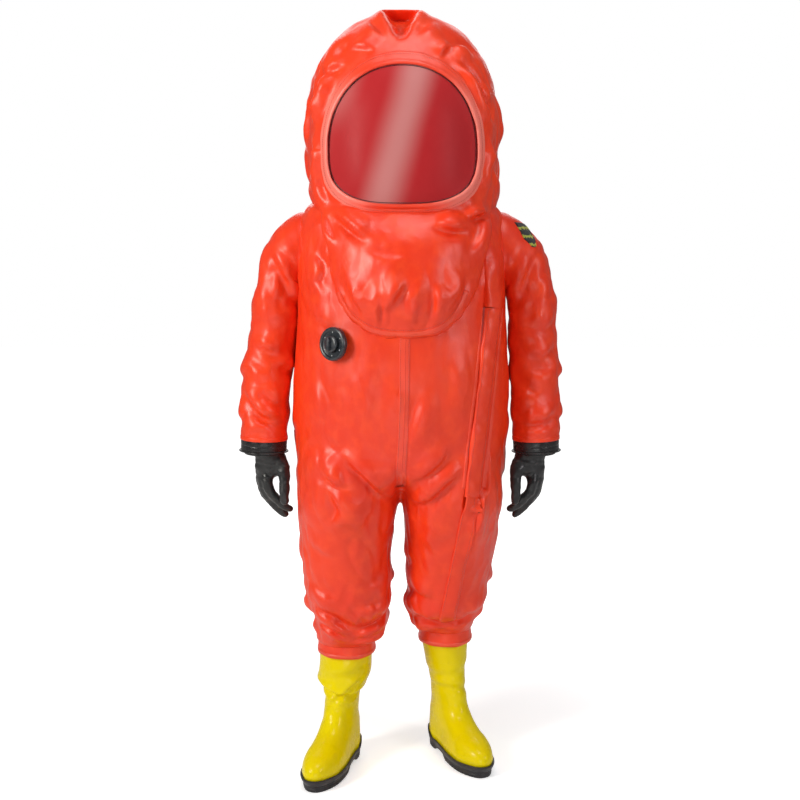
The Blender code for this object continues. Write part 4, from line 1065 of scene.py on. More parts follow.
BODY_FOLDS = [
    # chest and belly, in front
    ("front", [(-0.242, 1.376), (-0.200, 1.322), (-0.206, 1.280), (-0.160, 1.238)], 0.012, 0.006, 1),
    ("front", [(0.236, 1.372), (0.222, 1.312), (0.196, 1.262)], 0.012, 0.005, -1),
    ("front", [(-0.236, 1.240), (-0.196, 1.204), (-0.150, 1.190)], 0.013, 0.004, -1),
    ("front", [(0.072, 1.040), (0.050, 0.958), (0.026, 0.872)], 0.014, 0.006, -1),
    ("front", [(-0.020, 1.034), (0.002, 1.006), (-0.004, 0.966)], 0.009, 0.003, 1),
    ("front", [(-0.060, 1.110), (-0.080, 1.020), (-0.064, 0.930)], 0.020, 0.003, 1),
    ("front", [(-0.230, 1.060), (-0.196, 0.990), (-0.204, 0.910)], 0.016, 0.004, 1),
    ("front", [(0.120, 1.120), (0.142, 1.040), (0.128, 0.960)], 0.016, 0.003, -1),
    # where the legs part
    ("front", [(-0.150, 0.882), (-0.084, 0.822), (-0.034, 0.764), (0.008, 0.742)], 0.012, 0.013, -1),
    ("front", [(0.156, 0.846), (0.104, 0.794), (0.060, 0.752), (0.006, 0.738)], 0.012, 0.012, 1),
    ("front", [(0.128, 0.900), (0.090, 0.850), (0.040, 0.812), (0.008, 0.800)], 0.011, 0.007, 1),
    ("front", [(-0.200, 0.832), (-0.150, 0.796), (-0.120, 0.800)], 0.011, 0.009, -1),
    ("front", [(-0.182, 0.792), (-0.152, 0.748), (-0.140, 0.716), (-0.184, 0.668)], 0.012, 0.010, -1),
    ("front", [(0.196, 0.800), (0.192, 0.730), (0.186, 0.640), (0.172, 0.560)], 0.013, 0.009, -1),
    ("front", [(0.204, 0.780), (0.197, 0.711), (0.188, 0.620)], 0.012, 0.005, 1),
    ("front", [(-0.060, 0.742), (-0.094, 0.700), (-0.100, 0.640)], 0.014, 0.005, 1),
    ("front", [(0.066, 0.716), (0.078, 0.660), (0.060, 0.606)], 0.013, 0.004, -1),
    ("front", [(-0.226, 0.652), (-0.196, 0.618), (-0.150, 0.606)], 0.013, 0.004, -1),
    ("front", [(-0.018, 0.860), (-0.012, 0.812), (0.000, 0.780)], 0.009, 0.003, 1),
    ("front", [(0.001, 0.850), (0.001, 0.800), (0.001, 0.740), (0.001, 0.690)], 0.012, -0.011, 0),
    ("back", [(0.001, 0.840), (0.001, 0.780), (0.001, 0.720), (0.001, 0.660)], 0.0090, -0.016, 0),
    # knees and shins
    ("front", [(-0.026, 0.560), (-0.046, 0.520), (-0.090, 0.502)], 0.012, 0.005, -1),
    ("front", [(-0.240, 0.520), (-0.204, 0.486), (-0.150, 0.478)], 0.012, 0.005, 1),
    ("front", [(-0.030, 0.478), (-0.060, 0.452), (-0.120, 0.446)], 0.011, 0.006, -1),
    ("front", [(-0.232, 0.446), (-0.190, 0.428), (-0.150, 0.396), (-0.108, 0.372)], 0.0085, 0.013, 1),
    ("front", [(-0.022, 0.414), (-0.066, 0.394), (-0.124, 0.370)], 0.0085, 0.012, -1),
    ("front", [(-0.220, 0.404), (-0.176, 0.384), (-0.136, 0.352)], 0.0075, 0.010, 1),
    ("front", [(-0.030, 0.382), (-0.086, 0.356), (-0.140, 0.350)], 0.0075, 0.010, -1),
    ("front", [(0.022, 0.520), (0.052, 0.492), (0.098, 0.484)], 0.012, 0.005, -1),
    ("front", [(0.232, 0.474), (0.200, 0.440), (0.160, 0.430)], 0.012, 0.005, 1),
    ("front", [(0.024, 0.440), (0.066, 0.420), (0.110, 0.416)], 0.011, 0.006, -1),
    ("front", [(0.026, 0.400), (0.080, 0.386), (0.134, 0.372)], 0.0080, 0.009, 1),
    ("front", [(0.206, 0.412), (0.160, 0.388), (0.110, 0.376)], 0.0080, 0.011, -1),
    # behind
    ("back", [(-0.190, 0.900), (-0.120, 0.850), (-0.030, 0.836)], 0.015, 0.007, -1),
    ("back", [(0.190, 0.890), (0.110, 0.846), (0.030, 0.832)], 0.015, 0.007, 1),
    ("back", [(-0.180, 0.800), (-0.120, 0.762), (-0.050, 0.752)], 0.014, 0.007, 1),
    ("back", [(0.180, 0.792), (0.120, 0.758), (0.050, 0.750)], 0.014, 0.007, -1),
    ("back", [(-0.200, 0.620), (-0.140, 0.590), (-0.070, 0.600)], 0.014, 0.007, -1),
    ("back", [(-0.206, 0.560), (-0.140, 0.546), (-0.060, 0.562)], 0.013, 0.007, 1),
    ("back", [(0.204, 0.616), (0.140, 0.590), (0.060, 0.606)], 0.014, 0.007, 1),
    ("back", [(0.206, 0.556), (0.140, 0.542), (0.060, 0.552)], 0.013, 0.007, -1),
    ("back", [(-0.196, 0.430), (-0.130, 0.414), (-0.070, 0.424)], 0.011, 0.006, 1),
    ("back", [(0.186, 0.446), (0.130, 0.430), (0.060, 0.436)], 0.011, 0.006, 1),
    ("back", [(-0.060, 1.000), (-0.010, 0.970), (0.060, 0.990)], 0.014, 0.005, 1),
    ("back", [(-0.120, 1.300), (-0.080, 1.220), (-0.096, 1.130)], 0.016, 0.005, 1),
    ("back", [(0.110, 1.280), (0.076, 1.200), (0.092, 1.100)], 0.016, 0.005, -1),
    ("back", [(-0.140, 1.060), (-0.060, 1.030), (0.040, 1.046)], 0.014, 0.004, -1),
    ("left", [(-0.110, 0.960), (-0.040, 0.930), (0.060, 0.950)], 0.015, 0.0022, 1),
    ("left", [(-0.100, 0.840), (-0.020, 0.800), (0.080, 0.816)], 0.015, 0.0025, -1),
    ("left", [(-0.080, 0.660), (0.000, 0.630), (0.090, 0.646)], 0.014, 0.003, 1),
    ("left", [(-0.040, 0.520), (0.030, 0.500), (0.100, 0.516)], 0.013, 0.006, -1),
    ("left", [(-0.020, 0.420), (0.040, 0.404), (0.100, 0.414)], 0.011, 0.006, 1),
    ("right", [(-0.110, 0.950), (-0.030, 0.924), (0.060, 0.946)], 0.015, 0.0022, -1),
    ("right", [(-0.110, 0.830), (-0.020, 0.796), (0.070, 0.812)], 0.015, 0.0025, 1),
    ("right", [(-0.100, 0.600), (-0.020, 0.574), (0.060, 0.590)], 0.014, 0.003, -1),
    ("right", [(-0.080, 0.470), (-0.010, 0.450), (0.060, 0.462)], 0.012, 0.006, 1),
    ("right", [(-0.070, 0.380), (-0.010, 0.372), (0.050, 0.380)], 0.010, 0.006, -1),
]


def build_body():
    trunk = [[(x, y, z) for x, y in oval(m, w, f, b, pf, pb, 72)] for z, m, w, f, b, pf, pb in spline_rows(TORSO, 3)]
    parts = [loft(trunk), hump_part()] + [leg_part(side, sign) for side, sign in SIDES.items()]
    mesh = merged(parts, SKIN_CELL, "body")

    def free_of(x):
        return clear_of(x[:, 2], 0.338, 0.368)

    def growth(x):
        low = clear_of(0.80 - x[:, 2], 0.0, 0.10)
        shin = clear_of(0.56 - x[:, 2], 0.0, 0.12)
        behind = clear_of(x[:, 1], 0.0, 0.10)
        return 0.016 + 0.016 * low + 0.040 * shin + 0.012 * behind, 0.014 + 0.012 * low + 0.012 * shin

    axis, across, outward = (np.array(way) for way in zip_frame())
    head = np.array(Vector(JOINTS["flap_open"]["pos_m"]) - SHIFT)

    def beside_zip(x):
        """1 under the storm flap and the zip, 0 away from them."""
        away = np.abs((head - x) @ across - ZIP_MIDDLE)
        down = (head - x) @ axis
        return clear_of(0.046 - away, 0.0, 0.014) * clear_of(down, -0.10, -0.02) * clear_of(0.56 - down, 0.0, 0.05)

    def worn(x):
        low = clear_of(0.95 - x[:, 2], 0.0, 0.12)
        shin = clear_of(0.50 - x[:, 2], 0.0, 0.06)
        chest = clear_of(x[:, 2], 1.16, 1.26)
        amount = 0.0010 + 0.0013 * low + 0.0008 * shin + 0.0014 * chest
        return crumple(x, 0.080, 73, (1, 1, 1.5)) * amount * (1 - 0.85 * beside_zip(x))

    mesh = settled(mesh, BODY_FOLDS, growth, free_of, 3, waves=0.140, height=0.0008, cap=0.010, worn=worn)
    # the bed of the zip lies flat: nothing stands up under its flap or its pull
    cloth = Cloth(mesh)
    proud = (cloth.x - head) @ outward + 0.0040
    aside, down = (head - cloth.x) @ across, (head - cloth.x) @ axis
    # on the hinge's side it is wider, because the open flap swings down past its hinge there
    hinge_side = 0.0028 + 0.0240 * clear_of(0.478 - down, 0.0, 0.03)
    sunk = np.maximum(0.0, proud) * clear_of(0.0462 - aside, 0.0, 0.006) * clear_of(aside + hinge_side, 0.0, 0.006)
    sunk *= clear_of(down, -0.01, 0.01) * clear_of(0.600 - down, 0.0, 0.11)
    cloth.x = cloth.x - outward * (sunk * (proud < 0.03))[:, None]
    cloth.smooth(1, 0.3)
    cloth.write()
    return mesh


# ---------------------------------------------------------------- arms
# Centre x, y, z, tilt of the ring, radius across, radius fore and aft
ARM = [
    (0.2440, 0.000, 1.362, 90.0, 0.0990, 0.0860),
    (0.2680, 0.000, 1.357, 84.0, 0.0950, 0.0870),
    (0.3065, 0.000, 1.323, 54.0, 0.0750, 0.0840),
    (0.3290, 0.000, 1.254, 16.0, 0.0600, 0.0780),
    (0.3360, 0.000, 1.185, 7.0, 0.0600, 0.0740),
    (0.3460, 0.000, 1.085, 5.0, 0.0630, 0.0710),
    (0.3510, -0.010, 0.980, 2.0, 0.0630, 0.0680),
    (0.3520, -0.024, 0.878, 2.0, 0.0600, 0.0615),
]
ARM_START, ARM_SPLIT, ARM_END = -0.3, 4.15, 7.0
ARM_STEPS, ARM_COUNT = 156, 84
# How far each arm's sleeve stands from the even one: height, left, right
ARM_SHIFT = [(1.400, 0.000, -0.002), (1.330, 0.006, -0.011), (1.270, 0.006, -0.020), (1.200, 0.003, -0.018),
             (1.100, -0.001, -0.010), (1.000, -0.001, -0.002), (0.870, 0.000, 0.000)]


def arm_row(place):
    i = min(max(0, int(place)), len(ARM) - 2)
    return spline_row(spanned(ARM), i + 1, place - i)


# Folds of each sleeve; across is x seen from in front or behind, and y seen from the side
ARM_FOLDS = {
    "right": [
        ("front", [(-0.300, 1.376), (-0.268, 1.356), (-0.240, 1.330)], 0.010, 0.006, -1),
        ("front", [(-0.318, 1.386), (-0.288, 1.322), (-0.262, 1.256), (-0.252, 1.200)], 0.013, 0.008, -1),
        ("front", [(-0.334, 1.360), (-0.344, 1.263), (-0.336, 1.138)], 0.013, 0.004, 1),
        ("front", [(-0.300, 1.300), (-0.318, 1.240), (-0.306, 1.180)], 0.012, 0.004, 1),
        ("front", [(-0.372, 1.150), (-0.330, 1.120), (-0.288, 1.118)], 0.011, 0.005, -1),
        ("front", [(-0.312, 1.086), (-0.286, 1.072), (-0.262, 1.056)], 0.009, 0.007, -1),
        ("front", [(-0.396, 1.094), (-0.364, 1.062), (-0.330, 1.050)], 0.011, 0.006, 1),
        ("front", [(-0.352, 1.026), (-0.319, 1.000), (-0.286, 0.968)], 0.011, 0.007, -1),
        ("front", [(-0.402, 1.038), (-0.379, 0.998), (-0.350, 0.960), (-0.314, 0.940), (-0.276, 0.924)],
         0.011, 0.009, -1),
        ("front", [(-0.396, 0.944), (-0.360, 0.922), (-0.320, 0.916)], 0.010, 0.004, 1),
    ],
    "left": [
        ("front", [(0.300, 1.384), (0.276, 1.352), (0.256, 1.320)], 0.010, 0.005, 1),
        ("front", [(0.330, 1.380), (0.306, 1.320), (0.290, 1.262), (0.284, 1.206)], 0.013, 0.007, 1),
        ("front", [(0.360, 1.320), (0.352, 1.240), (0.342, 1.160)], 0.013, 0.005, -1),
        ("front", [(0.392, 1.240), (0.374, 1.190), (0.340, 1.160)], 0.011, 0.004, 1),
        ("front", [(0.398, 1.140), (0.360, 1.110), (0.312, 1.112)], 0.011, 0.005, 1),
        ("front", [(0.402, 1.070), (0.366, 1.046), (0.318, 1.056)], 0.011, 0.006, -1),
        ("front", [(0.300, 1.016), (0.334, 0.992), (0.372, 0.998)], 0.011, 0.005, 1),
        ("front", [(0.404, 0.986), (0.372, 0.950), (0.326, 0.936), (0.292, 0.942)], 0.011, 0.006, 1),
        ("front", [(0.396, 0.918), (0.356, 0.906), (0.306, 0.912)], 0.009, 0.004, -1),
    ],
}
ARM_FOLDS_ROUND = [
    ("back", [(0.410, 1.130), (0.350, 1.100), (0.292, 1.108)], 0.012, 0.007, 1),
    ("back", [(0.410, 1.070), (0.352, 1.048), (0.290, 1.060)], 0.012, 0.008, -1),
    ("back", [(0.408, 1.010), (0.350, 0.986), (0.294, 0.996)], 0.012, 0.006, 1),
    ("back", [(0.396, 1.260), (0.350, 1.220), (0.290, 1.210)], 0.013, 0.006, -1),
    ("back", [(0.300, 1.370), (0.290, 1.310), (0.300, 1.250)], 0.013, 0.006, 1),
    ("left", [(-0.060, 1.080), (0.000, 1.050), (0.060, 1.062)], 0.012, 0.005, -1),
    ("left", [(-0.080, 0.960), (-0.010, 0.942), (0.050, 0.962)], 0.011, 0.004, -1),
    ("left", [(-0.050, 1.290), (-0.010, 1.220), (-0.030, 1.150)], 0.013, 0.004, 1),
]


def build_sleeve(side, sign):
    """One sleeve as a fine tube from inside the armhole to the cuff, folded, then cut in two at mid-arm."""
    rings = []
    for r in range(ARM_STEPS + 1):
        place = ARM_START + (ARM_END - ARM_START) * r / ARM_STEPS
        x, y, z, tilt, across, depth = arm_row(place)
        lean = math.radians(tilt)
        heights = [row[0] for row in ARM_SHIFT][::-1]
        x += np.interp(z, heights, [row[1 if sign > 0 else 2] for row in ARM_SHIFT][::-1])
        ring = []
        for turn in turns(ARM_COUNT):
            a, b = across * math.cos(turn), depth * math.sin(turn)
            ring.append((sign * (x + a * math.cos(lean)), y + b, z + a * math.sin(lean)))
        rings.append(ring)
    points, faces = loft(rings, cap=False)
    mesh = new_mesh(f"sleeve_{side}", points, faces)
    cloth = Cloth(mesh)
    base = cloth.x.copy()
    down = np.repeat(np.linspace(ARM_START, ARM_END, ARM_STEPS + 1), ARM_COUNT)
    free = clear_of(down, 0.6, 2.2) * clear_of(ARM_END - down, 0.02, 0.28)
    mirrored = [
        (("right" if face == "left" else face) if sign < 0 else face,
         [(a * sign if face in ("front", "back") else a, h) for a, h in line], width, rise,
         crease * (sign if face in ("front", "back") else 1))
        for face, line, width, rise, crease in ARM_FOLDS_ROUND
    ]
    normals = cloth.normals()
    waves = ripple(cloth.x, 0.070, 21 + sign, (1, 1, 0.7)) * 0.0018
    cloth.x = cloth.x + normals * (waves * free)[:, None]
    press(cloth, ARM_FOLDS[side] + mirrored, free)
    elbow = np.exp(-((base[:, 2] - 1.03) / 0.12) ** 2)
    growth = (0.018 + 0.016 * elbow, 0.014 + 0.006 * elbow)
    cloth.settle(growth, 160, free, bend=0.22, hold=0.0040, cap=0.010, base=base)
    press(cloth, ARM_FOLDS[side] + mirrored, free * 0.8)
    cloth.smooth(3, 0.4)
    cloth.x = cloth.x + cloth.normals() * (crumple(cloth.x, 0.066, 75 + sign, (1, 1, 1.3)) * free * 0.0018)[:, None]
    cloth.write()
    normals = cloth.normals().copy()
    tree = tree_of(mesh)
    cut = round((ARM_SPLIT - ARM_START) / (ARM_END - ARM_START) * ARM_STEPS)
    parts = []
    for name, first, last in ((f"sleeve_upper_{side}", 0, cut), (f"sleeve_lower_{side}", cut, ARM_STEPS)):
        kept = slice(first * ARM_COUNT, (last + 1) * ARM_COUNT)
        part = new_mesh(name, *loft(cloth.x[kept].reshape(-1, ARM_COUNT, 3), cap=False), fix=False)
        lean = sum(part.polygons[i].normal.dot(Vector(normals[kept][part.polygons[i].vertices[0]]))
                   for i in range(0, len(part.polygons), 97))
        if lean < 0:
            part.flip_normals()
        obj = new_piece(name, part, FABRIC, "suit_fabric")
        part.normals_split_custom_set_from_vertices([tuple(n) for n in normals[kept]])
        parts.append(obj)
    upper, lower = parts
    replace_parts(upper, f"shoulder_cap_{side}", f"shoulder_fold_{side}", f"upper_sleeve_{side}")
    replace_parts(lower, f"elbow_fold_{side}", f"forearm_sleeve_{side}")
    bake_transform(upper)
    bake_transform(lower)
    return tree


WRIST = Vector((0.3520, -0.024, 0.8775))


def wrist_frame(sign):
    return Matrix.Translation((sign * WRIST.x, WRIST.y, WRIST.z)) @ Matrix.Rotation(math.radians(-2.0 * sign), 4, "Y")


def build_cuff(side, sign):
    """The welded end of the sleeve, the rubber cuff ring, its lock ring, and the glove's own ring."""
    frame = wrist_frame(sign)
    band = ((-0.0012, 0.0112), (0.0002, 0.0104), (0.0006, 0.0090), (0.0006, 0.0018), (0.0002, 0.0004),
            (-0.004, -0.0004), (-0.004, 0.0112))
    rings = [[frame @ Vector(((0.0608 + radius) * math.cos(turn), (0.0608 + radius) * 1.022 * math.sin(turn), height))
              for radius, height in band] for turn in turns(72)]
    stands_for(lofted(f"cuff_weld_{side}", rings, FABRIC, "suit_fabric", hoop=True), f"forearm_{side}")
    for name, body, node, finish, slot, rounding, profile in (
        ("cuff", "forearm", "cuff_ring", CUFF_RUBBER, "black_rubber", 0.0012, [
            (0.0545, 0.0300), (0.0550, 0.0016), (0.0596, 0.0008), (0.0592, -0.0120), (0.0585, -0.0130),
            (0.0585, -0.0142), (0.0592, -0.0152), (0.0588, -0.0262), (0.0500, -0.0262), (0.0500, 0.0300)]),
        ("cuff_lock", "forearm", "lock_ring", CUFF_RUBBER, "black_rubber", 0.0008, [
            (0.0570, -0.0265), (0.0626, -0.0276), (0.0640, -0.0292), (0.0632, -0.0306), (0.0560, -0.0315),
            (0.0500, -0.0315), (0.0500, -0.0265)]),
        ("glove_lock", "hand", "glove_ring", PLASTIC, "black_plastic", 0.0008, [
            (0.0488, 0.0240), (0.0488, -0.0360), (0.0455, -0.0360), (0.0455, 0.0240)]),
    ):
        ring = turned(f"{name}_{side}", round_profile(profile, rounding), frame, finish, slot, 96)
        stands_for(ring, f"{body}_{side}", f"{node}_{side}")


# Rows of x, y, z, radius for the palm, the fingers and the thumb of the wearer's left glove, below its wrist
GLOVE_TUBES = [
    [(-0.002, 0.002, -0.006, 0.0440), (-0.006, 0.002, -0.036, 0.0385), (-0.003, 0.004, -0.062, 0.0320),
     (0.003, 0.006, -0.089, 0.0240), (0.004, 0.008, -0.104, 0.0190)],
    [(-0.006, -0.002, -0.006, 0.0440), (-0.012, -0.004, -0.036, 0.0365), (-0.022, -0.006, -0.058, 0.0320),
     (-0.024, -0.008, -0.072, 0.0180)],
    # first to fourth finger
    [(-0.004, -0.014, -0.096, 0.0165), (-0.006, -0.018, -0.108, 0.0140), (-0.0125, -0.020, -0.127, 0.0130),
     (-0.031, -0.018, -0.1485, 0.0125), (-0.049, -0.015, -0.165, 0.0118), (-0.0645, -0.012, -0.174, 0.0100)],
    [(0.006, -0.002, -0.098, 0.0150), (0.0055, -0.003, -0.112, 0.0138), (0.0015, -0.002, -0.130, 0.0130),
     (-0.016, 0.000, -0.157, 0.0125), (-0.036, 0.004, -0.180, 0.0118), (-0.051, 0.006, -0.193, 0.0100)],
    [(0.013, 0.012, -0.096, 0.0150), (0.013, 0.016, -0.110, 0.0138), (0.009, 0.018, -0.130, 0.0130),
     (-0.001, 0.019, -0.1485, 0.0122), (-0.012, 0.020, -0.163, 0.0110), (-0.018, 0.020, -0.170, 0.0095)],
    [(0.014, 0.026, -0.092, 0.0140), (0.015, 0.034, -0.106, 0.0125), (0.011, 0.038, -0.124, 0.0118),
     (0.002, 0.040, -0.140, 0.0110), (-0.008, 0.040, -0.152, 0.0095)],
    # the thumb hangs straight, before the fingertips
    [(-0.030, -0.014, -0.048, 0.0240), (-0.044, -0.024, -0.064, 0.0195), (-0.0505, -0.032, -0.086, 0.0152),
     (-0.0515, -0.037, -0.110, 0.0138), (-0.0520, -0.040, -0.132, 0.0132), (-0.0545, -0.042, -0.148, 0.0115)],
]


def build_glove(side, sign):
    """The moulded glove: a palm and fingers grown together, with soft creases at the joints."""
    place = wrist_frame(sign) @ Matrix.Translation((0, 0, -0.0045))
    shape = bmesh.new()
    for tube in GLOVE_TUBES:
        rows = [(sign * (x - 0.007), y, z, r * 1.07 if z < -0.05 else r) for x, y, z, r in tube]
        for x, y, z, r in spline_rows(rows, 7):
            bmesh.ops.create_icosphere(shape, subdivisions=2, radius=r, matrix=Matrix.Translation((x, y, z)))
    mesh = bpy.data.meshes.new(f"glove_{side}")
    shape.to_mesh(mesh)
    shape.free()
    mesh = remade(mesh, "REMESH", mode="VOXEL", voxel_size=GLOVE_CELL)
    cloth = Cloth(mesh)
    cloth.smooth(9, 0.5)
    normals = cloth.normals()
    z = cloth.x[:, 2]
    creases = np.zeros(cloth.n)
    for height, deep, width in ((-0.126, 0.0012, 0.0030), (-0.132, 0.0010, 0.0026), (-0.154, 0.0012, 0.0030),
                                (-0.160, 0.0009, 0.0026), (-0.094, 0.0012, 0.0036), (-0.060, 0.0016, 0.0046),
                                (-0.047, 0.0013, 0.0040)):
        slant = z + 0.12 * cloth.x[:, 0] - height
        creases -= deep * np.exp(-(slant / width) ** 2)
    creases += ripple(cloth.x, 0.022, 41) * 0.0005 + ripple(cloth.x, 0.040, 43, (1, 1, 0.6)) * 0.0005
    cloth.x = cloth.x + normals * creases[:, None]
    cloth.smooth(2, 0.5)
    mesh.vertices.foreach_set("co", cloth.x.ravel())
    # the glove's mouth is open: it is pulled over its ring
    with edited(mesh) as shape:
        bmesh.ops.bisect_plane(shape, geom=shape.verts[:] + shape.edges[:] + shape.faces[:],
                               plane_co=(0, 0, -0.0295), plane_no=(0, 0, 1), clear_outer=True)
    mesh.transform(place)
    glove = new_piece(f"glove_skin_{side}", mesh, GLOVE_RUBBER, "black_rubber")
    walled(glove, 0.0012)
    stands_for(glove, f"hand_{side}", f"glove_{side}")
    bead = turned(f"glove_bead_{side}", round_profile([
        (0.0492, -0.0325), (0.0500, -0.0340), (0.0500, -0.0375), (0.0470, -0.0385), (0.0455, -0.0330),
    ], 0.0012), wrist_frame(sign), GLOVE_RUBBER, "black_rubber", 72)
    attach(bead, f"hand_{side}")


# ---------------------------------------------------------------- boots
HEM = {"left": (0.1215, 0.0555, 0.0665), "right": (0.1425, -0.0025, 0.0712)}
HEM_LOW = {"left": 0.316, "right": 0.304}
ANKLE = {"left": (0.135, 0.070), "right": (0.158, -0.005)}
TOE_OUT = {"left": 24.0, "right": 18.0}
SHAFT_RADIUS = {"left": 0.0620, "right": 0.0692}
# Where each shaft starts to narrow to the ankle, and its share of the radius there
SHAFT_WAIST = {"left": (0.255, 0.82), "right": (0.240, 0.97)}
BOOT_TOP = 0.366
FOOT = [
    (0.0190, 0.0405, -0.208, 0.072, 0.42),
    (0.0305, 0.0420, -0.212, 0.074, 0.42),
    (0.0420, 0.0430, -0.216, 0.076, 0.42),
    (0.0600, 0.0430, -0.210, 0.076, 0.36),
    (0.0760, 0.0430, -0.186, 0.074, 0.26),
    (0.0920, 0.0430, -0.140, 0.071, 0.14),
    (0.1120, 0.0430, -0.098, 0.068, 0.05),
    (0.1400, 0.0398, -0.072, 0.063, 0.00),
    (0.1900, 0.0408, -0.058, 0.060, 0.00),
]
# Folds of each boot: height at the front and at the back, depth, width, its middle and how far round it runs
# (degrees), and how much it rises outwards
BOOT_FOLDS = {
    "right": [(0.204, 0.211, 0.0088, 0.0085, 30, 150, 0.20), (0.180, 0.200, 0.0062, 0.0075, -16, 48, -0.85),
              (0.246, 0.240, 0.0030, 0.0120, -20, 60, -0.30)],
    "left": [(0.190, 0.170, 0.0030, 0.0100, -10, 90, -0.20), (0.236, 0.240, 0.0022, 0.0120, -30, 100, 0.20)],
}


def foot_row(z):
    known = max(z, FOOT[0][0])
    for low, high in zip(FOOT, FOOT[1:]):
        if known <= high[0]:
            t = (known - low[0]) / (high[0] - low[0])
            return [z, *(a + (b - a) * t for a, b in zip(low[1:], high[1:]))]
    return [z, *FOOT[-1][1:]]


def boot_rings(side, sign, rows, grow=0.0, count=112):
    ankle = Vector((*ANKLE[side], 0))
    top = Vector((*HEM[side][:2], 0))
    yaw = Matrix.Rotation(math.radians(TOE_OUT[side]), 3, "Z")
    rings = []
    for z, half_width, front, back, forefoot in rows:
        lean = min(1.0, max(0.0, (z - 0.12) / 0.19))
        centre = ankle.lerp(top, lean)
        power = 2.3 - 0.3 * lean
        ring = []
        for x, y in oval(0.0, half_width + grow, front - grow, back + grow, power, power, count):
            widen = 1 + forefoot * min(1.0, max(0.0, -y / 0.15)) * (1 - 0.16 * clear_of(-y, 0.16, 0.215))
            waist = 1 - 0.07 * math.exp(-((y + 0.035) / 0.045) ** 2) * (1 - clear_of(z, 0.05, 0.10))
            point = centre + yaw @ Vector((x * widen * waist, y, 0))
            ring.append(Vector((sign * point.x, point.y, z)))
        rings.append(ring)
    return rings


def foot_local(side, sign, points):
    """Points in the boot's own axes: x across, -y towards the toe."""
    c, s = math.cos(math.radians(-TOE_OUT[side])), math.sin(math.radians(-TOE_OUT[side]))
    x = sign * points[:, 0] - ANKLE[side][0]
    y = points[:, 1] - ANKLE[side][1]
    return np.stack([x * c - y * s, x * s + y * c, points[:, 2]], axis=1)


def build_boot(side, sign):
    """The moulded boot: shaft with its creases at the ankle, toe cap line, heel counter and mould seam."""
    r = SHAFT_RADIUS[side]
    waist, share = SHAFT_WAIST[side]
    shaft = [(waist, share * r, -r, r, 0.0), (0.320, r, -r, r, 0.0), (BOOT_TOP, r, -r, r, 0.0)]
    rows = spline_rows(FOOT, 7)[:-1] + spline_rows([FOOT[-1], *shaft], 16)
    rings = boot_rings(side, sign, rows)
    points, faces = loft(rings, cap=False)
    mesh = new_mesh(f"boot_{side}", points, faces)
    cloth = Cloth(mesh)
    normals = cloth.normals()
    local = foot_local(side, sign, cloth.x)
    turn = np.degrees(np.arctan2(-local[:, 1], local[:, 0]))  # 90 is the toe
    z = cloth.x[:, 2]
    ahead = clear_of(-local[:, 1], -0.075, 0.075)
    move = np.zeros(cloth.n)
    for front_z, back_z, deep, width, centre, spread, slant in BOOT_FOLDS[side]:
        line = back_z + (front_z - back_z) * ahead + slant * local[:, 0]
        line = line + 0.0025 * np.sin(np.radians(turn * 2 + centre))
        off = (np.degrees(np.arctan2(local[:, 0], -local[:, 1])) - centre + 180) % 360 - 180
        reach = np.exp(-(off / spread) ** 4)
        gap = (z - line) / width
        move += reach * deep * (-np.exp(-gap ** 2) + 0.62 * np.exp(-((gap - 1.7) / 1.1) ** 2)
                                + 0.45 * np.exp(-((gap + 1.7) / 1.1) ** 2))
    above = clear_of(z, 0.10, 0.15)
    move += above * (ripple(cloth.x, 0.090, 51 + sign, (1, 1, 0.8)) * 0.0016) * (1 - 0.5 * clear_of(z, 0.3, 0.35))
    # toe cap line and heel counter, moulded in low relief
    toe = -local[:, 1]
    cap_line = toe - (0.140 - 0.28 * (z - 0.045)) + 4.0 * local[:, 0] ** 2
    low = 1 - clear_of(z, 0.110, 0.130)
    move += low * (0.0012 * clear_of(cap_line, -0.0008, 0.0010) - 0.0008 * np.exp(-(cap_line / 0.0016) ** 2))
    counter = local[:, 1] - (0.030 + 0.25 * (z - 0.10))
    move += 0.0010 * clear_of(counter, -0.0010, 0.0012) * (1 - clear_of(z, 0.158, 0.162))
    move -= 0.0007 * np.exp(-((z - 0.160) / 0.0014) ** 2) * clear_of(counter, -0.001, 0.001)
    seam = np.abs(local[:, 0])
    move += 0.0006 * np.exp(-(seam / 0.0012) ** 2) * clear_of(z, 0.05, 0.07)
    move += 0.0009 * (np.exp(-((z - 0.0430) / 0.0020) ** 2))
    cloth.x = cloth.x + normals * move[:, None]
    cloth.smooth(1, 0.3)
    cloth.write()
    boot = new_piece(f"boot_skin_{side}", mesh, PVC, "boot_pvc")
    walled(boot, 0.0026)
    stands_for(boot, "suit", f"boot_{side}")
    build_sole(side, sign)


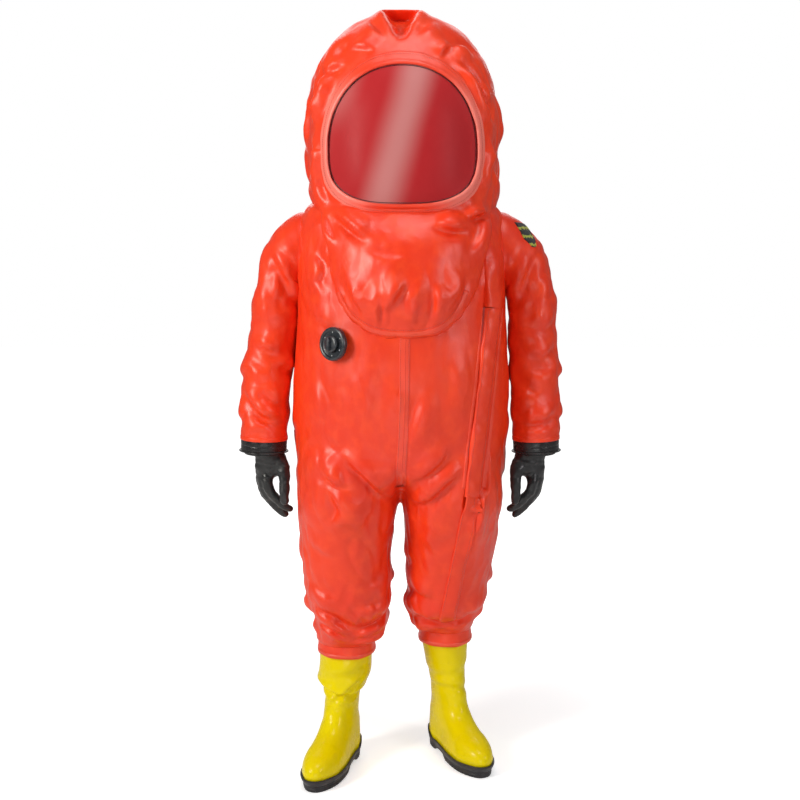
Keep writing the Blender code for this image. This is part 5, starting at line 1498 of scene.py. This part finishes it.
def build_sole(side, sign):
    """The cup sole: ribbed foxing that rises at heel and toe, and a cleated tread."""
    profile = [
        (0.0, -0.0035), (0.0000, 0.0002), (0.0012, 0.0022), (0.0060, 0.0030), (0.0095, 0.0030), (0.0105, 0.0022),
        (0.0118, 0.0022), (0.0128, 0.0032), (0.0190, 0.0038), (0.0200, 0.0030), (0.0214, 0.0030), (0.0224, 0.0040),
        (0.0290, 0.0046), (0.0330, 0.0052), (0.0400, 0.0056), (0.0450, 0.0054), (0.0462, 0.0044), (0.0462, 0.0020),
        (0.0400, 0.0014), (0.0330, 0.0010),
    ]
    count = 160
    rings = [boot_rings(side, sign, [foot_row(z)], grow, count)[0] for z, grow in profile]
    for (z, grow), ring in zip(profile, rings):
        local = foot_local(side, sign, np.array([tuple(p) for p in ring]))
        heel = clear_of(local[:, 1], 0.010, 0.060)
        toe = clear_of(-local[:, 1], 0.130, 0.200)
        arch = clear_of(-local[:, 1], -0.010, 0.015) * (1 - clear_of(-local[:, 1], 0.045, 0.075))
        top = clear_of(np.array(z), 0.026, 0.040)
        for i, point in enumerate(ring):
            point.z += float(top * (0.008 * heel[i] + 0.004 * toe[i]))
            if z > 0.012:
                # the upper's edge stands high at the heel only
                point.z = 0.012 + (point.z - 0.012) * (0.56 + 0.34 * float(heel[i]))
            if z < 0.012:
                point.z += float(0.0115 * arch[i] * (1 - z / 0.024))
    sole = lofted(f"sole_skin_{side}", rings, SOLE_RUBBER, "black_rubber")
    # side notches between the cleats
    cut_points, cut_faces = [], []
    frame = Matrix.Translation((sign * ANKLE[side][0], ANKLE[side][1], 0)) @ Matrix.Rotation(
        math.radians(TOE_OUT[side] * sign), 4, "Z")
    for y in (-0.196, -0.182, -0.168, -0.154, -0.140, -0.126, -0.112, -0.098, -0.084, 0.016, 0.030, 0.044, 0.058):
        start = len(cut_points)
        for dx in (-0.09, 0.09):
            for dy, dz in ((0.0, -0.01), (0.0052, -0.01), (0.0046, 0.0062), (0.0006, 0.0062)):
                cut_points.append(frame @ Vector((dx, y + dy, dz)))
        cut_faces += [tuple(start + i for i in face) for face in (
            (0, 1, 2, 3), (7, 6, 5, 4), (0, 4, 5, 1), (1, 5, 6, 2), (2, 6, 7, 3), (3, 7, 4, 0))]
    cutter = linked("cutter", new_mesh("cutter", [p + SHIFT for p in cut_points], cut_faces))
    modifier = sole.modifiers.new("tread", "BOOLEAN")
    modifier.object, modifier.operation, modifier.solver = cutter, "DIFFERENCE", "EXACT"
    baked(sole)
    bpy.data.objects.remove(cutter)
    sole.data.shade_smooth()
    sole.data.set_sharp_from_angle(angle=math.radians(38))
    sole.data.materials.clear()
    sole.data.materials.append(SOLE_RUBBER)
    stands_for(sole, "suit", f"sole_{side}")


def build_hem(side, sign):
    """The trouser leg's end: a doubled band over the boot's shaft, with a welded stripe."""
    x, y, radius = HEM[side]
    low = HEM_LOW[side]

    def ring(z, grow, plain=False):
        points = []
        for turn in turns(96):
            waver = 0.0007 * math.sin(5 * turn + (1.3 if sign > 0 else 0.2)) + 0.0004 * math.sin(11 * turn + 1.0)
            dip = 0.0012 * math.sin(2 * turn + 0.8) + 0.0005 * math.sin(7 * turn)
            r = radius + grow + waver * (1 if grow > 0 or plain else 0.2)
            held = 1 if plain else 1 - clear_of(z, 0.33, 0.36)
            points.append((sign * x + r * math.cos(turn), y + r * math.sin(turn), z + dip * held))
        return points

    profile = [
        (0.366, -0.0010), (0.358, 0.0026), (0.352, 0.0036), (0.346, 0.0032), (0.340, 0.0040), (0.334, 0.0048),
        (low + 0.0150, 0.0050), (low + 0.0120, 0.0056), (low + 0.0030, 0.0056), (low + 0.0008, 0.0050), (low, 0.0036),
        (low, -0.0004), (0.345, -0.0006),
    ]
    stripe = ((low + 0.0120, 0.0050), (low + 0.0116, 0.0064), (low + 0.0035, 0.0064), (low + 0.0030, 0.0050))
    hem = lofted(f"hem_{side}", [ring(*row) for row in profile], FABRIC, "suit_fabric", hoop=True)
    stands_for(hem, "suit", f"hem_band_{side}")
    band = lofted(f"hem_weld_{side}", [ring(*row, plain=True) for row in stripe], PALE_TAPE, "suit_fabric", hoop=True)
    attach(band, "suit")


# ---------------------------------------------------------------- visor
def facing_front(mesh):
    if sum(p.normal.y * p.area for p in mesh.polygons) > 0:
        mesh.flip_normals()
    return mesh


def build_visor(plain):
    """The lens, its black bead, and the broad welded rim with its stitching."""
    def on_hood(x, z):
        return meet(plain, (x, -1.0, z), (0, 1, 0))

    # the lens: a smooth sheet, bowed a little more than the hood
    outline = visor_outline(0.013, 0.015, 0.013)
    centre = Vector((VISOR["x"], 0, VISOR["z"]))
    edge = []
    for x, z in outline:
        place, normal = on_hood(x, z)
        edge.append(place + normal * 0.0046)
    rings = []
    for share in (math.cos(math.pi / 2 * k / 14) for k in range(14)):
        ring = []
        for point in edge:
            x, z = centre.x + (point.x - centre.x) * share, centre.z + (point.z - centre.z) * share
            # the sheet bends one way only: its y is the edge's own, eased towards a cylinder
            u = (x - centre.x) / (VISOR["half"] + 0.013)
            v = (z - centre.z) / 0.19
            y = -0.2335 + 0.052 * u * u + 0.010 * u ** 4 + (0.026 * v * v if v > 0 else 0.006 * v * v)
            y = point.y * share ** 6 + y * (1 - share ** 6)
            ring.append((x, y, z))
        rings.append(ring)
    count = len(outline)
    points, faces = loft(rings, cap=False)
    points.append((centre.x, -0.2335, centre.z))
    last = (len(rings) - 1) * count
    faces += [(last + k, last + (k + 1) % count, len(points) - 1) for k in range(count)]
    mesh = facing_front(new_mesh("visor_pane", points, faces, fix=False))
    pane_tree = tree_of(mesh)
    pane = new_piece("visor_pane", mesh, LENS, "visor_clear")
    walled(pane, 0.0014)
    stands_for(pane, "suit", "visor_lens")

    # the rim: lapped over the lens inside, welded flat on the hood outside
    rows = [
        (0.0035, 0.0062, 0.0035, 0.0052), (0.0040, 0.0067, 0.0040, 0.0080), (0.0058, 0.0085, 0.0058, 0.0092),
        (0.0085, 0.0115, 0.0085, 0.0094), (0.0110, 0.0145, 0.0110, 0.0088), (0.0124, 0.0165, 0.0126, 0.0078),
        (0.0136, 0.0190, 0.0142, 0.0068), (0.0155, 0.0240, 0.0170, 0.0061), (0.0180, 0.0300, 0.0205, 0.0057),
        (0.0200, 0.0350, 0.0238, 0.0054), (0.0218, 0.0392, 0.0262, 0.0050), (0.0226, 0.0404, 0.0272, 0.0036),
        (0.0228, 0.0408, 0.0275, -0.0004),
    ]
    rings = []
    for sides, above, below, lift in rows:
        ring = []
        for i, (x, z) in enumerate(visor_outline(sides, above, below, 160)):
            place, normal = on_hood(x, z)
            wander = 0.0006 * math.sin(i * 0.36) + 0.0004 * math.sin(i * 0.91 + 1)
            ring.append(place + normal * (lift + (wander if 0.003 < lift < 0.009 else 0)))
        rings.append(ring)
    mesh = facing_front(new_mesh("visor_rim", *loft(rings, cap=False), fix=False))
    rim = new_piece("visor_rim", mesh, RIM_TAPE, "suit_fabric")
    walled(rim, 0.0016)
    stands_for(rim, "suit", "visor_frame")

    # the black bead between rim and lens
    bead = []
    line = []
    for x, z in visor_outline(0.0036, 0.0064, 0.0036, 160):
        place, normal, _, _ = pane_tree.ray_cast(Vector((x, -1.0, z)), Vector((0, 1, 0)))
        line.append(place + Vector((0, -0.0008, 0)))
    for k, place in enumerate(line):
        along = (line[(k + 1) % len(line)] - line[k - 1]).normalized()
        out = Vector((0, -1, 0))
        across = along.cross(out).normalized()
        bead.append([place + (across * math.cos(t) + out * math.sin(t)) * 0.0007 for t in turns(10)])
    stands_for(lofted("visor_bead", bead, CUFF_RUBBER, "black_rubber", hoop=True), "suit", "visor_gasket")

    # stitches round the rim's outer edge
    line = visor_outline(0.0190, 0.0350, 0.0232, 64)
    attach(stitching("visor_stitches", Shifted(tree_of(rim.data)), [*line, line[0]]), "suit")


class Shifted:
    """A surface given in the frame's axes, asked in the layout's."""

    def __init__(self, tree):
        self.tree = tree

    def ray_cast(self, start, way):
        place, normal, index, reach = self.tree.ray_cast(Vector(start) + SHIFT, way)
        return (place - SHIFT if place is not None else None), normal, index, reach

    def find_nearest(self, start):
        place, normal, index, reach = self.tree.find_nearest(Vector(start) + SHIFT)
        return (place - SHIFT if place is not None else None), normal, index, reach


def cut_visor(mesh):
    """Opens the hood's skin inside the rim."""
    with edited(mesh) as shape:
        gone = [face for face in shape.faces if face.calc_center_median().y < -0.06
                and all(float(in_visor(np.array(v.co.x), np.array(v.co.z), 0.012)) < 1 for v in face.verts)]
        bmesh.ops.delete(shape, geom=gone, context="FACES")
    return mesh


# ---------------------------------------------------------------- seams and tapes
def profile_of(half, height, edge=0.0016):
    return [(-half, -0.0020), (-half, height * 0.45), (-half + edge * 0.5, height * 0.85), (-half + edge, height),
            (0.0, height), (half - edge, height), (half - edge * 0.5, height * 0.85), (half, height * 0.45),
            (half, -0.0020)]


def build_seams(body_tree, hood_tree):
    def seam(name, tree, line, half, height, way=(0, 1, 0), edge=0.0016):
        strip = ribbon(name, tree, line, profile_of(half, height, edge), TAPE, way)
        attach(strip, "suit")
        return strip

    # the tape down the front, and its stitches
    front = [(0.012, 1.165), (0.011, 1.100), (0.010, 1.006), (0.007, 0.909), (0.003, 0.830), (0.001, 0.786)]
    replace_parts(seam("front_tape", body_tree, front, 0.0125, 0.0016), "front_seam_tape")
    for name, offset in (("r", -0.0098), ("l", 0.0098)):
        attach(stitching(f"front_stitches_{name}", body_tree, front, offset, 0.0019), "suit")
    seam("front_seam", body_tree, [(x + 0.001, z) for x, z in front], 0.0012, 0.0026, edge=0.0006)

    # the band along the bib's lower edge
    edge = [(-0.150, 1.262), (-0.131, 1.224), (-0.108, 1.198), (-0.078, 1.178), (-0.038, 1.167), (0.010, 1.164),
            (0.060, 1.167), (0.098, 1.180), (0.126, 1.202), (0.146, 1.232), (0.160, 1.266)]
    seam("bib_band", hood_tree, edge, 0.0060, 0.0014)
    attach(stitching("bib_stitches", hood_tree, [(x * 0.975, z + 0.0095) for x, z in edge]), "suit")

    # seams of the back and sides
    behind = (0, -1, 0)
    seam("back_seam", body_tree, [(0.0, 0.955), (0.0, 0.900), (0.0, 0.840), (0.002, 0.780)], 0.0110, 0.0015, behind)
    seam("hood_back_seam", hood_tree, [(0.0, 1.925), (0.002, 1.840), (0.0, 1.720), (-0.002, 1.600), (0.0, 1.490)],
         0.0110, 0.0015, behind)
    seam("cover_top_seam", body_tree, [(-0.160, 1.375), (-0.080, 1.392), (0.0, 1.396), (0.080, 1.392), (0.160, 1.375)],
         0.0100, 0.0015, behind)
    seam("cover_low_seam", body_tree, [(-0.150, 1.010), (-0.075, 0.994), (0.0, 0.990), (0.075, 0.994), (0.150, 1.010)],
         0.0100, 0.0015, behind)
    for side, sign in SIDES.items():
        inward = (-sign, 0, 0)
        line = [(sign * 0.168, 1.345), (sign * 0.172, 1.250), (sign * 0.172, 1.150), (sign * 0.166, 1.050)]
        seam(f"cover_side_seam_{side}", body_tree, line, 0.0080, 0.0015, behind)
        centre = 0.040 if sign > 0 else 0.000
        line = [(centre - 0.02, 0.900), (centre, 0.780), (centre + 0.010, 0.640), (centre + 0.022, 0.500),
                (centre + 0.030, 0.405)]
        seam(f"side_seam_{side}", body_tree, line, 0.0095, 0.0014, inward)
        line = [(0.010, 1.860), (0.022, 1.760), (0.024, 1.660), (0.018, 1.560), (0.012, 1.490)]
        seam(f"hood_side_seam_{side}", hood_tree, line, 0.0095, 0.0014, inward)


# ---------------------------------------------------------------- closure
def zip_frame():
    """The CAD zip's own directions: up along it, across to the wearer's left, and outward."""
    up = Vector(JOINTS["flap_open"]["axis"]).normalized()
    across = Vector(JOINTS["pull_lift"]["axis"]).normalized()
    outward = across.cross(up).normalized()
    return (way if good else -way for way, good in ((up, up.z > 0), (across, across.x > 0), (outward, outward.y < 0)))


# The storm flap's section, from its hinge: how far across, and how high
FLAP_PROFILE = [
    (0.0000, 0.0006), (0.0003, 0.0062), (0.0012, 0.0092), (0.0036, 0.0108), (0.0100, 0.0114), (0.0210, 0.0116),
    (0.0330, 0.0113), (0.0390, 0.0104), (0.0422, 0.0084), (0.0432, 0.0052), (0.0434, 0.0004),
]


def build_closure(body_tree):
    """The storm flap over the zip, the tape under it, and the lower run down the leg."""
    up, across, outward = zip_frame()
    top = Vector(JOINTS["flap_open"]["pos_m"])

    def spot(down, w):
        """A place on the zip's plane: so far down from the flap's top, and across from its hinge."""
        return top - up * down - across * w

    def skin_at(at, missing=0.0):
        """How far the suit's skin stands out of the zip's plane."""
        hit, _, _, _ = body_tree.ray_cast(at - SHIFT + outward * 0.05, -outward)
        return missing if hit is None else (hit + SHIFT - at).dot(outward)

    # the flap: hinged at the wearer's left, lapped over to the right
    thick = 0.0018
    last = len(FLAP_PROFILE) - 1
    rings = []
    for i in range(97):
        down = FLAP_LENGTH * i / 96
        end = min(1.0, down / 0.010, (FLAP_LENGTH - down) / 0.010) ** 0.5
        waver = 0.0011 * math.sin(down * 41 + 0.7) + 0.0008 * math.sin(down * 97 + 2.0) + 0.0005 * math.sin(down * 171)
        outer, inner = [], []
        for k, (w, h) in enumerate(FLAP_PROFILE):
            free = math.sin(math.pi * k / last)
            wave = waver * free + 0.0006 * math.sin(down * 130 + k * 1.3) * free
            lift = (h + wave) * (0.86 + 0.14 * end)
            if w > 0.028:
                # towards the free edge it bends down to the suit
                skin = skin_at(spot(down, w))
                lift += max(-0.012, min(0.0, skin + 0.0010)) * clear_of(w, 0.028, FLAP_EDGE)
            # the free edge lies a little uneven
            stray = 0.0008 * math.sin(down * 60 + 1.1) * (k / last) ** 3
            outer.append(spot(down, w + stray) + outward * lift)
            under = lift - thick * (1 if 0 < k < last else 0)
            inner.append(spot(down, min(max(w, thick), FLAP_EDGE - thick) + stray)
                         + outward * (max(0.0004, under) if w <= 0.028 else under))
        rings.append(outer + inner[::-1])
    flap = lofted("storm_flap", rings, FABRIC, "suit_fabric", shift=False, sharp=60)
    stands_for(flap, "zip_flap_body", "zip_flap")
    flap_tree = tree_of(flap.data)
    count = int(FLAP_LENGTH / STITCH_PITCH)
    for name, w in (("outer", 0.0048), ("inner", 0.0382)):
        threads = []
        for i in range(2, count - 1):
            hit, normal, _, _ = flap_tree.ray_cast(spot(FLAP_LENGTH * i / count, w) + outward * 0.05, -outward)
            if hit is not None:
                threads.append(thread(hit + normal * 0.0003, up, up.cross(normal).normalized(), normal))
        row = new_mesh(f"flap_stitches_{name}", *joined(threads), fix=False)
        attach(new_piece(row.name, row, THREAD, "suit_fabric", shift=False), "zip_flap_body")
    # the carrier tape, lying on the suit under the flap
    carrier = []
    widths = (-0.0240, -0.0120, 0.0, 0.0120, 0.0240)
    for i in range(49):
        places = [spot(FLAP_LENGTH * i / 48, ZIP_MIDDLE - w) for w in widths]
        carrier.append([at - outward * 0.0012 for at in places]
                       + [at + outward * min(-0.0026, skin_at(at, -0.004) + 0.0005) for at in reversed(places)])
    tape = lofted("closure_tape", carrier, WEB_RED, "suit_fabric", shift=False, sharp=50)
    stands_for(tape, "suit", "zip_tape")
    # zip teeth, either side of the middle
    points, faces = [], []
    for i in range(int((FLAP_LENGTH - 0.016) / 0.0032)):
        for sign in (-1, 1):
            at = spot(0.008 + 0.0032 * i + (0.0016 if sign > 0 else 0), ZIP_MIDDLE - 0.0018 * sign) - outward * 0.0011
            start = len(points)
            points += [at + across * a * (0.8 if h > 0.001 else 1) + up * b * (0.7 if h > 0.001 else 1) + outward * h
                       for a in (-0.0021, 0.0021) for b in (-0.0009, 0.0009) for h in (0.0002, 0.0018)]
            faces += [tuple(start + corner for corner in face) for face in (
                (0, 1, 3, 2), (4, 6, 7, 5), (0, 4, 5, 1), (2, 3, 7, 6), (1, 5, 7, 3), (0, 2, 6, 4))]
    teeth = new_piece("zip_teeth", new_mesh("zip_teeth", points, faces), STEEL, "steel", shift=False)
    teeth.data.shade_flat()
    stands_for(teeth, "suit", "zip_chain")
    # the welds either side of the flap, where its carrier joins the suit
    for name, w in (("front", 0.0480), ("side", -0.0190)):
        run = [spot(0.002 + (FLAP_LENGTH - 0.022) * i / 8, w) - SHIFT for i in range(9)]
        weld = ribbon(f"closure_weld_{name}", body_tree, [(at.x, at.z) for at in run], profile_of(0.0050, 0.0014), TAPE)
        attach(weld, "suit")
    # the lower run down the leg: a flat flap that starts under the storm flap's end, and its stitches
    bottom = spot(FLAP_LENGTH, 0) - SHIFT
    leg = [(bottom.x - 0.0190, bottom.z + 0.009), (0.1685, 0.700), (0.161, 0.650), (0.153, 0.600), (0.144, 0.545),
           (0.135, 0.490), (0.126, 0.440), (0.120, 0.404)]
    section = [(-0.0200, -0.0020), (-0.0206, 0.0022), (-0.0196, 0.0042), (-0.0160, 0.0054), (-0.0060, 0.0060),
               (0.0060, 0.0060), (0.0160, 0.0054), (0.0196, 0.0042), (0.0206, 0.0022), (0.0200, -0.0020)]
    lower = ribbon("leg_flap", body_tree, leg, section, FABRIC, step=0.005)
    cloth = Cloth(lower.data)
    foot = spot(FLAP_LENGTH, ZIP_MIDDLE)
    proud = max(0.0, 0.0092 - skin_at(foot) - 0.0060)
    lifted = proud * (1 - clear_of(foot.z - cloth.x[:, 2], 0.0, 0.060))
    cloth.x = cloth.x + lifted[:, None] * np.array(outward)
    cloth.x = cloth.x + cloth.normals() * (ripple(cloth.x, 0.05, 61) * 0.0006)[:, None]
    cloth.smooth(1, 0.3)
    cloth.write()
    stands_for(lower, "suit", "leg_zip_flap", "leg_zip_tape")
    # its upper end runs on from the flap, sinking to the chest as it goes under the bib
    rings = []
    for i in range(27):
        gone = 0.0016 + 0.118 * i / 26
        sink = clear_of(gone, 0.004, 0.090)
        over, below = [], []
        for k, (w, h) in enumerate(FLAP_PROFILE):
            at = spot(-gone, w + 0.004 * sink)
            skin = skin_at(at)
            level = h * (1 - sink) + (skin + 0.0040 * math.sin(math.pi * k / last) ** 0.5) * sink
            over.append(at + outward * max(level, skin + 0.0004))
            below.append(at + outward * (min(skin, level) - 0.0022))
        rings.append(over + below[::-1])
    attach(lofted("closure_head", rings, FABRIC, "suit_fabric", shift=False, sharp=60), "suit")
    tree = Shifted(tree_of(lower.data))
    for name, offset in (("r", -0.0152), ("l", 0.0152)):
        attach(stitching(f"leg_flap_stitches_{name}", tree, leg[:-1], offset, 0.0004), "suit")


WEB_RED = woven_tape("zip_carrier", (0.46, 0.030, 0.018), 0.0014)


# ---------------------------------------------------------------- valves
def build_air_valve():
    """The supplied-air valve: rubber gasket, flanged body with a raised rim, and its turning knob."""
    outward = Vector(JOINTS["air_valve_turn"]["axis"]).normalized()
    place = axes_at(Vector(JOINTS["air_valve_turn"]["pos_m"]) - SHIFT, outward)
    gasket = turned("valve_gasket", round_profile([
        (0.0405, -0.0004), (0.0412, -0.0016), (0.0405, -0.0030), (0.0285, -0.0030), (0.0285, -0.0004),
    ], 0.0006), place, CUFF_RUBBER, "black_rubber", 96)
    body = turned("valve_flange", round_profile([
        (0.0210, 0.0046), (0.0260, 0.0046), (0.0268, 0.0054), (0.0306, 0.0058), (0.0326, 0.0092), (0.0362, 0.0104),
        (0.0396, 0.0090), (0.0412, 0.0050), (0.0412, 0.0), (0.0275, 0.0), (0.0275, -0.0480), (0.0220, -0.0480),
        (0.0220, -0.0060), (0.0062, -0.0060), (0.0062, 0.0040), (0.0210, 0.0040),
    ], 0.0011), place, PLASTIC, "black_plastic", 128)
    knob_rings = []
    for radius, height in ((0.0058, -0.0130), (0.0058, 0.0060), (0.0190, 0.0062), (0.0202, 0.0072), (0.0202, 0.0120),
                           (0.0196, 0.0138), (0.0180, 0.0150), (0.0150, 0.0157), (0.0090, 0.0161), (0.0030, 0.0162)):
        ring = []
        for turn in turns(144):
            ridge = 0.0007 * (0.5 + 0.5 * math.cos(24 * turn)) ** 2 if 0.0070 < height < 0.0140 else 0
            r = radius - ridge
            ring.append(place @ Vector((r * math.cos(turn), r * math.sin(turn), height)))
        knob_rings.append(ring)
    knob = lofted("valve_knob_cap", knob_rings, PLASTIC, "black_plastic", sharp=48)
    grip_rings = []
    for height, grow in ((0.0150, 0.0006), (0.0200, 0.0), (0.0232, -0.0002), (0.0246, -0.0010), (0.0252, -0.0022)):
        ring = []
        for turn in turns(64):
            wide, long = signed_power(math.cos(turn), 0.6), signed_power(math.sin(turn), 0.5)
            ring.append(place @ Vector(((0.0042 + grow) * wide, (0.0160 + grow) * long, height)))
        grip_rings.append(ring)
    grip = lofted("valve_grip", grip_rings, PLASTIC, "black_plastic", sharp=48)
    screws = []
    for k in range(6):
        turn = math.pi * (2 * k + 1) / 6
        centre = Vector((0.0284 * math.cos(turn), 0.0284 * math.sin(turn), 0.0052))
        screws.append(loft([
            [place @ (centre + Vector((radius * math.cos(a), radius * math.sin(a), height))) for a in turns(12)]
            for radius, height in ((0.0017, 0.0), (0.0017, 0.0010), (0.0012, 0.0014), (0.0006, 0.0011))
        ]))
    screws = new_piece("valve_screws", new_mesh("valve_screws", *joined(screws)), STEEL, "steel")
    stands_for(gasket, "suit", "air_valve_gasket")
    stands_for(body, "suit", "air_valve_body")
    stands_for(screws, "suit")
    stands_for(knob, "valve_knob", "air_valve_knob")
    stands_for(grip, "valve_knob", "air_valve_knob")


def build_exhaust_valves(body_tree):
    """Two exhaust valves high on the back: seat, lifting disc and slotted cover."""
    for side in SIDES:
        joint = JOINTS[f"exhaust_lift_{side}"]
        outward = Vector(joint["axis"]).normalized()
        low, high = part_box(f"exhaust_disc_{side}")
        middle = (Vector(low) + Vector(high)) / 2 - SHIFT - outward * 0.0059
        place = axes_at(middle, outward)
        seat = turned(f"valve_seat_{side}", round_profile([
            (0.0350, 0.0040), (0.0358, 0.0020), (0.0358, -0.0040), (0.0225, -0.0040), (0.0225, -0.0160),
            (0.0170, -0.0160), (0.0170, 0.0045), (0.0330, 0.0046),
        ], 0.0009), place, PLASTIC, "black_plastic", 96)
        disc = turned(f"valve_disc_{side}", round_profile([
            (0.0, 0.0068), (0.0205, 0.0062), (0.0205, 0.0050), (0.0, 0.0050),
        ], 0.0004), place, CUFF_RUBBER, "black_rubber", 72, closed=False)
        rings = []
        for radius, height in ((0.0256, 0.0052), (0.0306, 0.0051), (0.0308, 0.0100), (0.0300, 0.0138), (0.0276, 0.0162),
                               (0.0236, 0.0180), (0.0190, 0.0187), (0.0110, 0.0191), (0.0030, 0.0192)):
            ring = []
            for turn in turns(144):
                slot_depth = 0.0022 * clear_of(math.cos(8 * turn), 0.55, 0.80)
                deep = slot_depth if 0.0100 < height < 0.0185 else 0.0
                r = radius - deep
                ring.append(place @ Vector((r * math.cos(turn), r * math.sin(turn), height - deep * 0.5)))
            rings.append(ring)
        inner = [[place @ Vector((r * math.cos(turn), r * math.sin(turn), h)) for turn in turns(144)]
                 for r, h in ((0.0030, 0.0152), (0.0190, 0.0150), (0.0240, 0.0120), (0.0250, 0.0060))]
        cover = lofted(f"valve_cover_{side}", rings + inner, PLASTIC, "black_plastic", hoop=True, sharp=42)
        cap = turned(f"valve_cover_cap_{side}", [
            (0.0, 0.0196), (0.0040, 0.0195), (0.0048, 0.0190), (0.0048, 0.0160), (0.0, 0.0160),
        ], place, PLASTIC, "black_plastic", 48, closed=False)
        stands_for(patch(f"valve_weld_{side}", body_tree, place, 0.0350, 0.0480), "suit")
        stands_for(seat, "suit", f"exhaust_seat_{side}")
        stands_for(disc, f"exhaust_valve_{side}", f"exhaust_disc_{side}")
        stands_for(cover, "suit", f"exhaust_cover_{side}")
        stands_for(cap, "suit", f"exhaust_cover_{side}")


def patch(name, tree, place, inner, outer):
    """A round patch welded to the suit about a fitting."""
    outward = (place.to_3x3() @ Vector((0, 0, 1))).normalized()
    rings = []
    for radius, lift in ((inner, -0.001), (inner, 0.0024), (outer - 0.002, 0.0020), (outer, 0.0010), (outer, -0.0015)):
        ring = []
        for turn in turns(72):
            start = place @ Vector((radius * math.cos(turn), radius * math.sin(turn), 0.06))
            hit, _, _, _ = tree.ray_cast(start, -outward)
            if hit is None:
                hit = start - outward * 0.06
            ring.append(hit + outward * lift)
        rings.append(ring)
    return lofted(name, rings, TAPE, "suit_fabric", cap=False)


def build_badge(arm_tree):
    """The plain cloth badge on the left shoulder, with a stitched edge."""
    outward = Vector((0.62, -0.66, 0.42)).normalized()
    frame = axes_at(Vector((0.318, -0.050, 1.402)) + outward * 0.2, outward)
    rows, under = [], []
    across, tall = 17, 25
    for i in range(tall):
        row, low = [], []
        for k in range(across):
            u, v = -1 + 2 * k / (across - 1), -1 + 2 * i / (tall - 1)
            # a shield: square above, pointed below
            narrow = 1 - 0.55 * clear_of(-v, 0.2, 1.0)
            start = frame @ Vector((0.0205 * u * narrow, 0.0360 * v - 0.004 * (1 - u * u) * clear_of(-v, 0.4, 1.0), 0))
            place, normal = meet(arm_tree, start, -outward)
            edge = max(abs(u), abs(v))
            lift = 0.0022 + 0.0008 * clear_of(edge, 0.80, 0.90) - 0.0016 * clear_of(edge, 0.97, 1.0)
            row.append(place + normal * lift)
            low.append(place - normal * 0.0006)
        rows.append(row)
        under.append(low)
    points = [p for row in rows for p in row] + [p for row in under for p in row]
    size = across * tall
    faces = [
        (r * across + k, r * across + k + 1, (r + 1) * across + k + 1, (r + 1) * across + k)
        for r in range(tall - 1) for k in range(across - 1)
    ]
    faces += [tuple(i + size for i in reversed(face)) for face in list(faces)]
    border = ([(0, k) for k in range(across)] + [(r, across - 1) for r in range(1, tall)]
              + [(tall - 1, k) for k in range(across - 2, -1, -1)] + [(r, 0) for r in range(tall - 2, 0, -1)])
    for a, b in zip(border, border[1:] + border[:1]):
        i, j = a[0] * across + a[1], b[0] * across + b[1]
        faces.append((i, i + size, j + size, j))
    badge = new_piece("badge", new_mesh("badge", points, faces), BADGE, "webbing")
    stands_for(badge, "suit", "shoulder_patch")


# ---------------------------------------------------------------- the whole suit
def finish_cad_nodes():
    """Every CAD node, shown or inside, gets its procedural finish."""
    slots = {part["node"]: part["material_slot"] for part in frame["record"]["subparts"]}
    for name, obj in frame["nodes"].items():
        finish = CAD_FINISH[slots[name]]
        if name == "zip_tape":
            finish = WEB_RED
        if obj.material_slots:
            for slot in obj.material_slots:
                slot.material = finish
        else:
            obj.data.materials.append(finish)


def main():
    build_set()
    finish_cad_nodes()
    hood_mesh, hood_plain = build_hood()
    body_mesh = build_body()
    hood_tree, body_tree = tree_of(hood_mesh), tree_of(body_mesh)
    arm_trees = {side: build_sleeve(side, sign) for side, sign in SIDES.items()}
    build_visor(hood_plain)
    hood = new_piece("hood_skin", cut_visor(hood_mesh), FABRIC, "suit_fabric")
    stands_for(hood, "suit", "hood_shell", "hood_bib")
    body = new_piece("body_skin", body_mesh, FABRIC, "suit_fabric")
    stands_for(body, "suit", "torso_shell", "breathing_set_cover", "leg_left", "leg_right")
    build_seams(body_tree, hood_tree)
    build_closure(body_tree)
    build_air_valve()
    build_exhaust_valves(body_tree)
    build_badge(arm_trees["left"])
    for side, sign in SIDES.items():
        build_cuff(side, sign)
        build_glove(side, sign)
        build_boot(side, sign)
        build_hem(side, sign)


main()
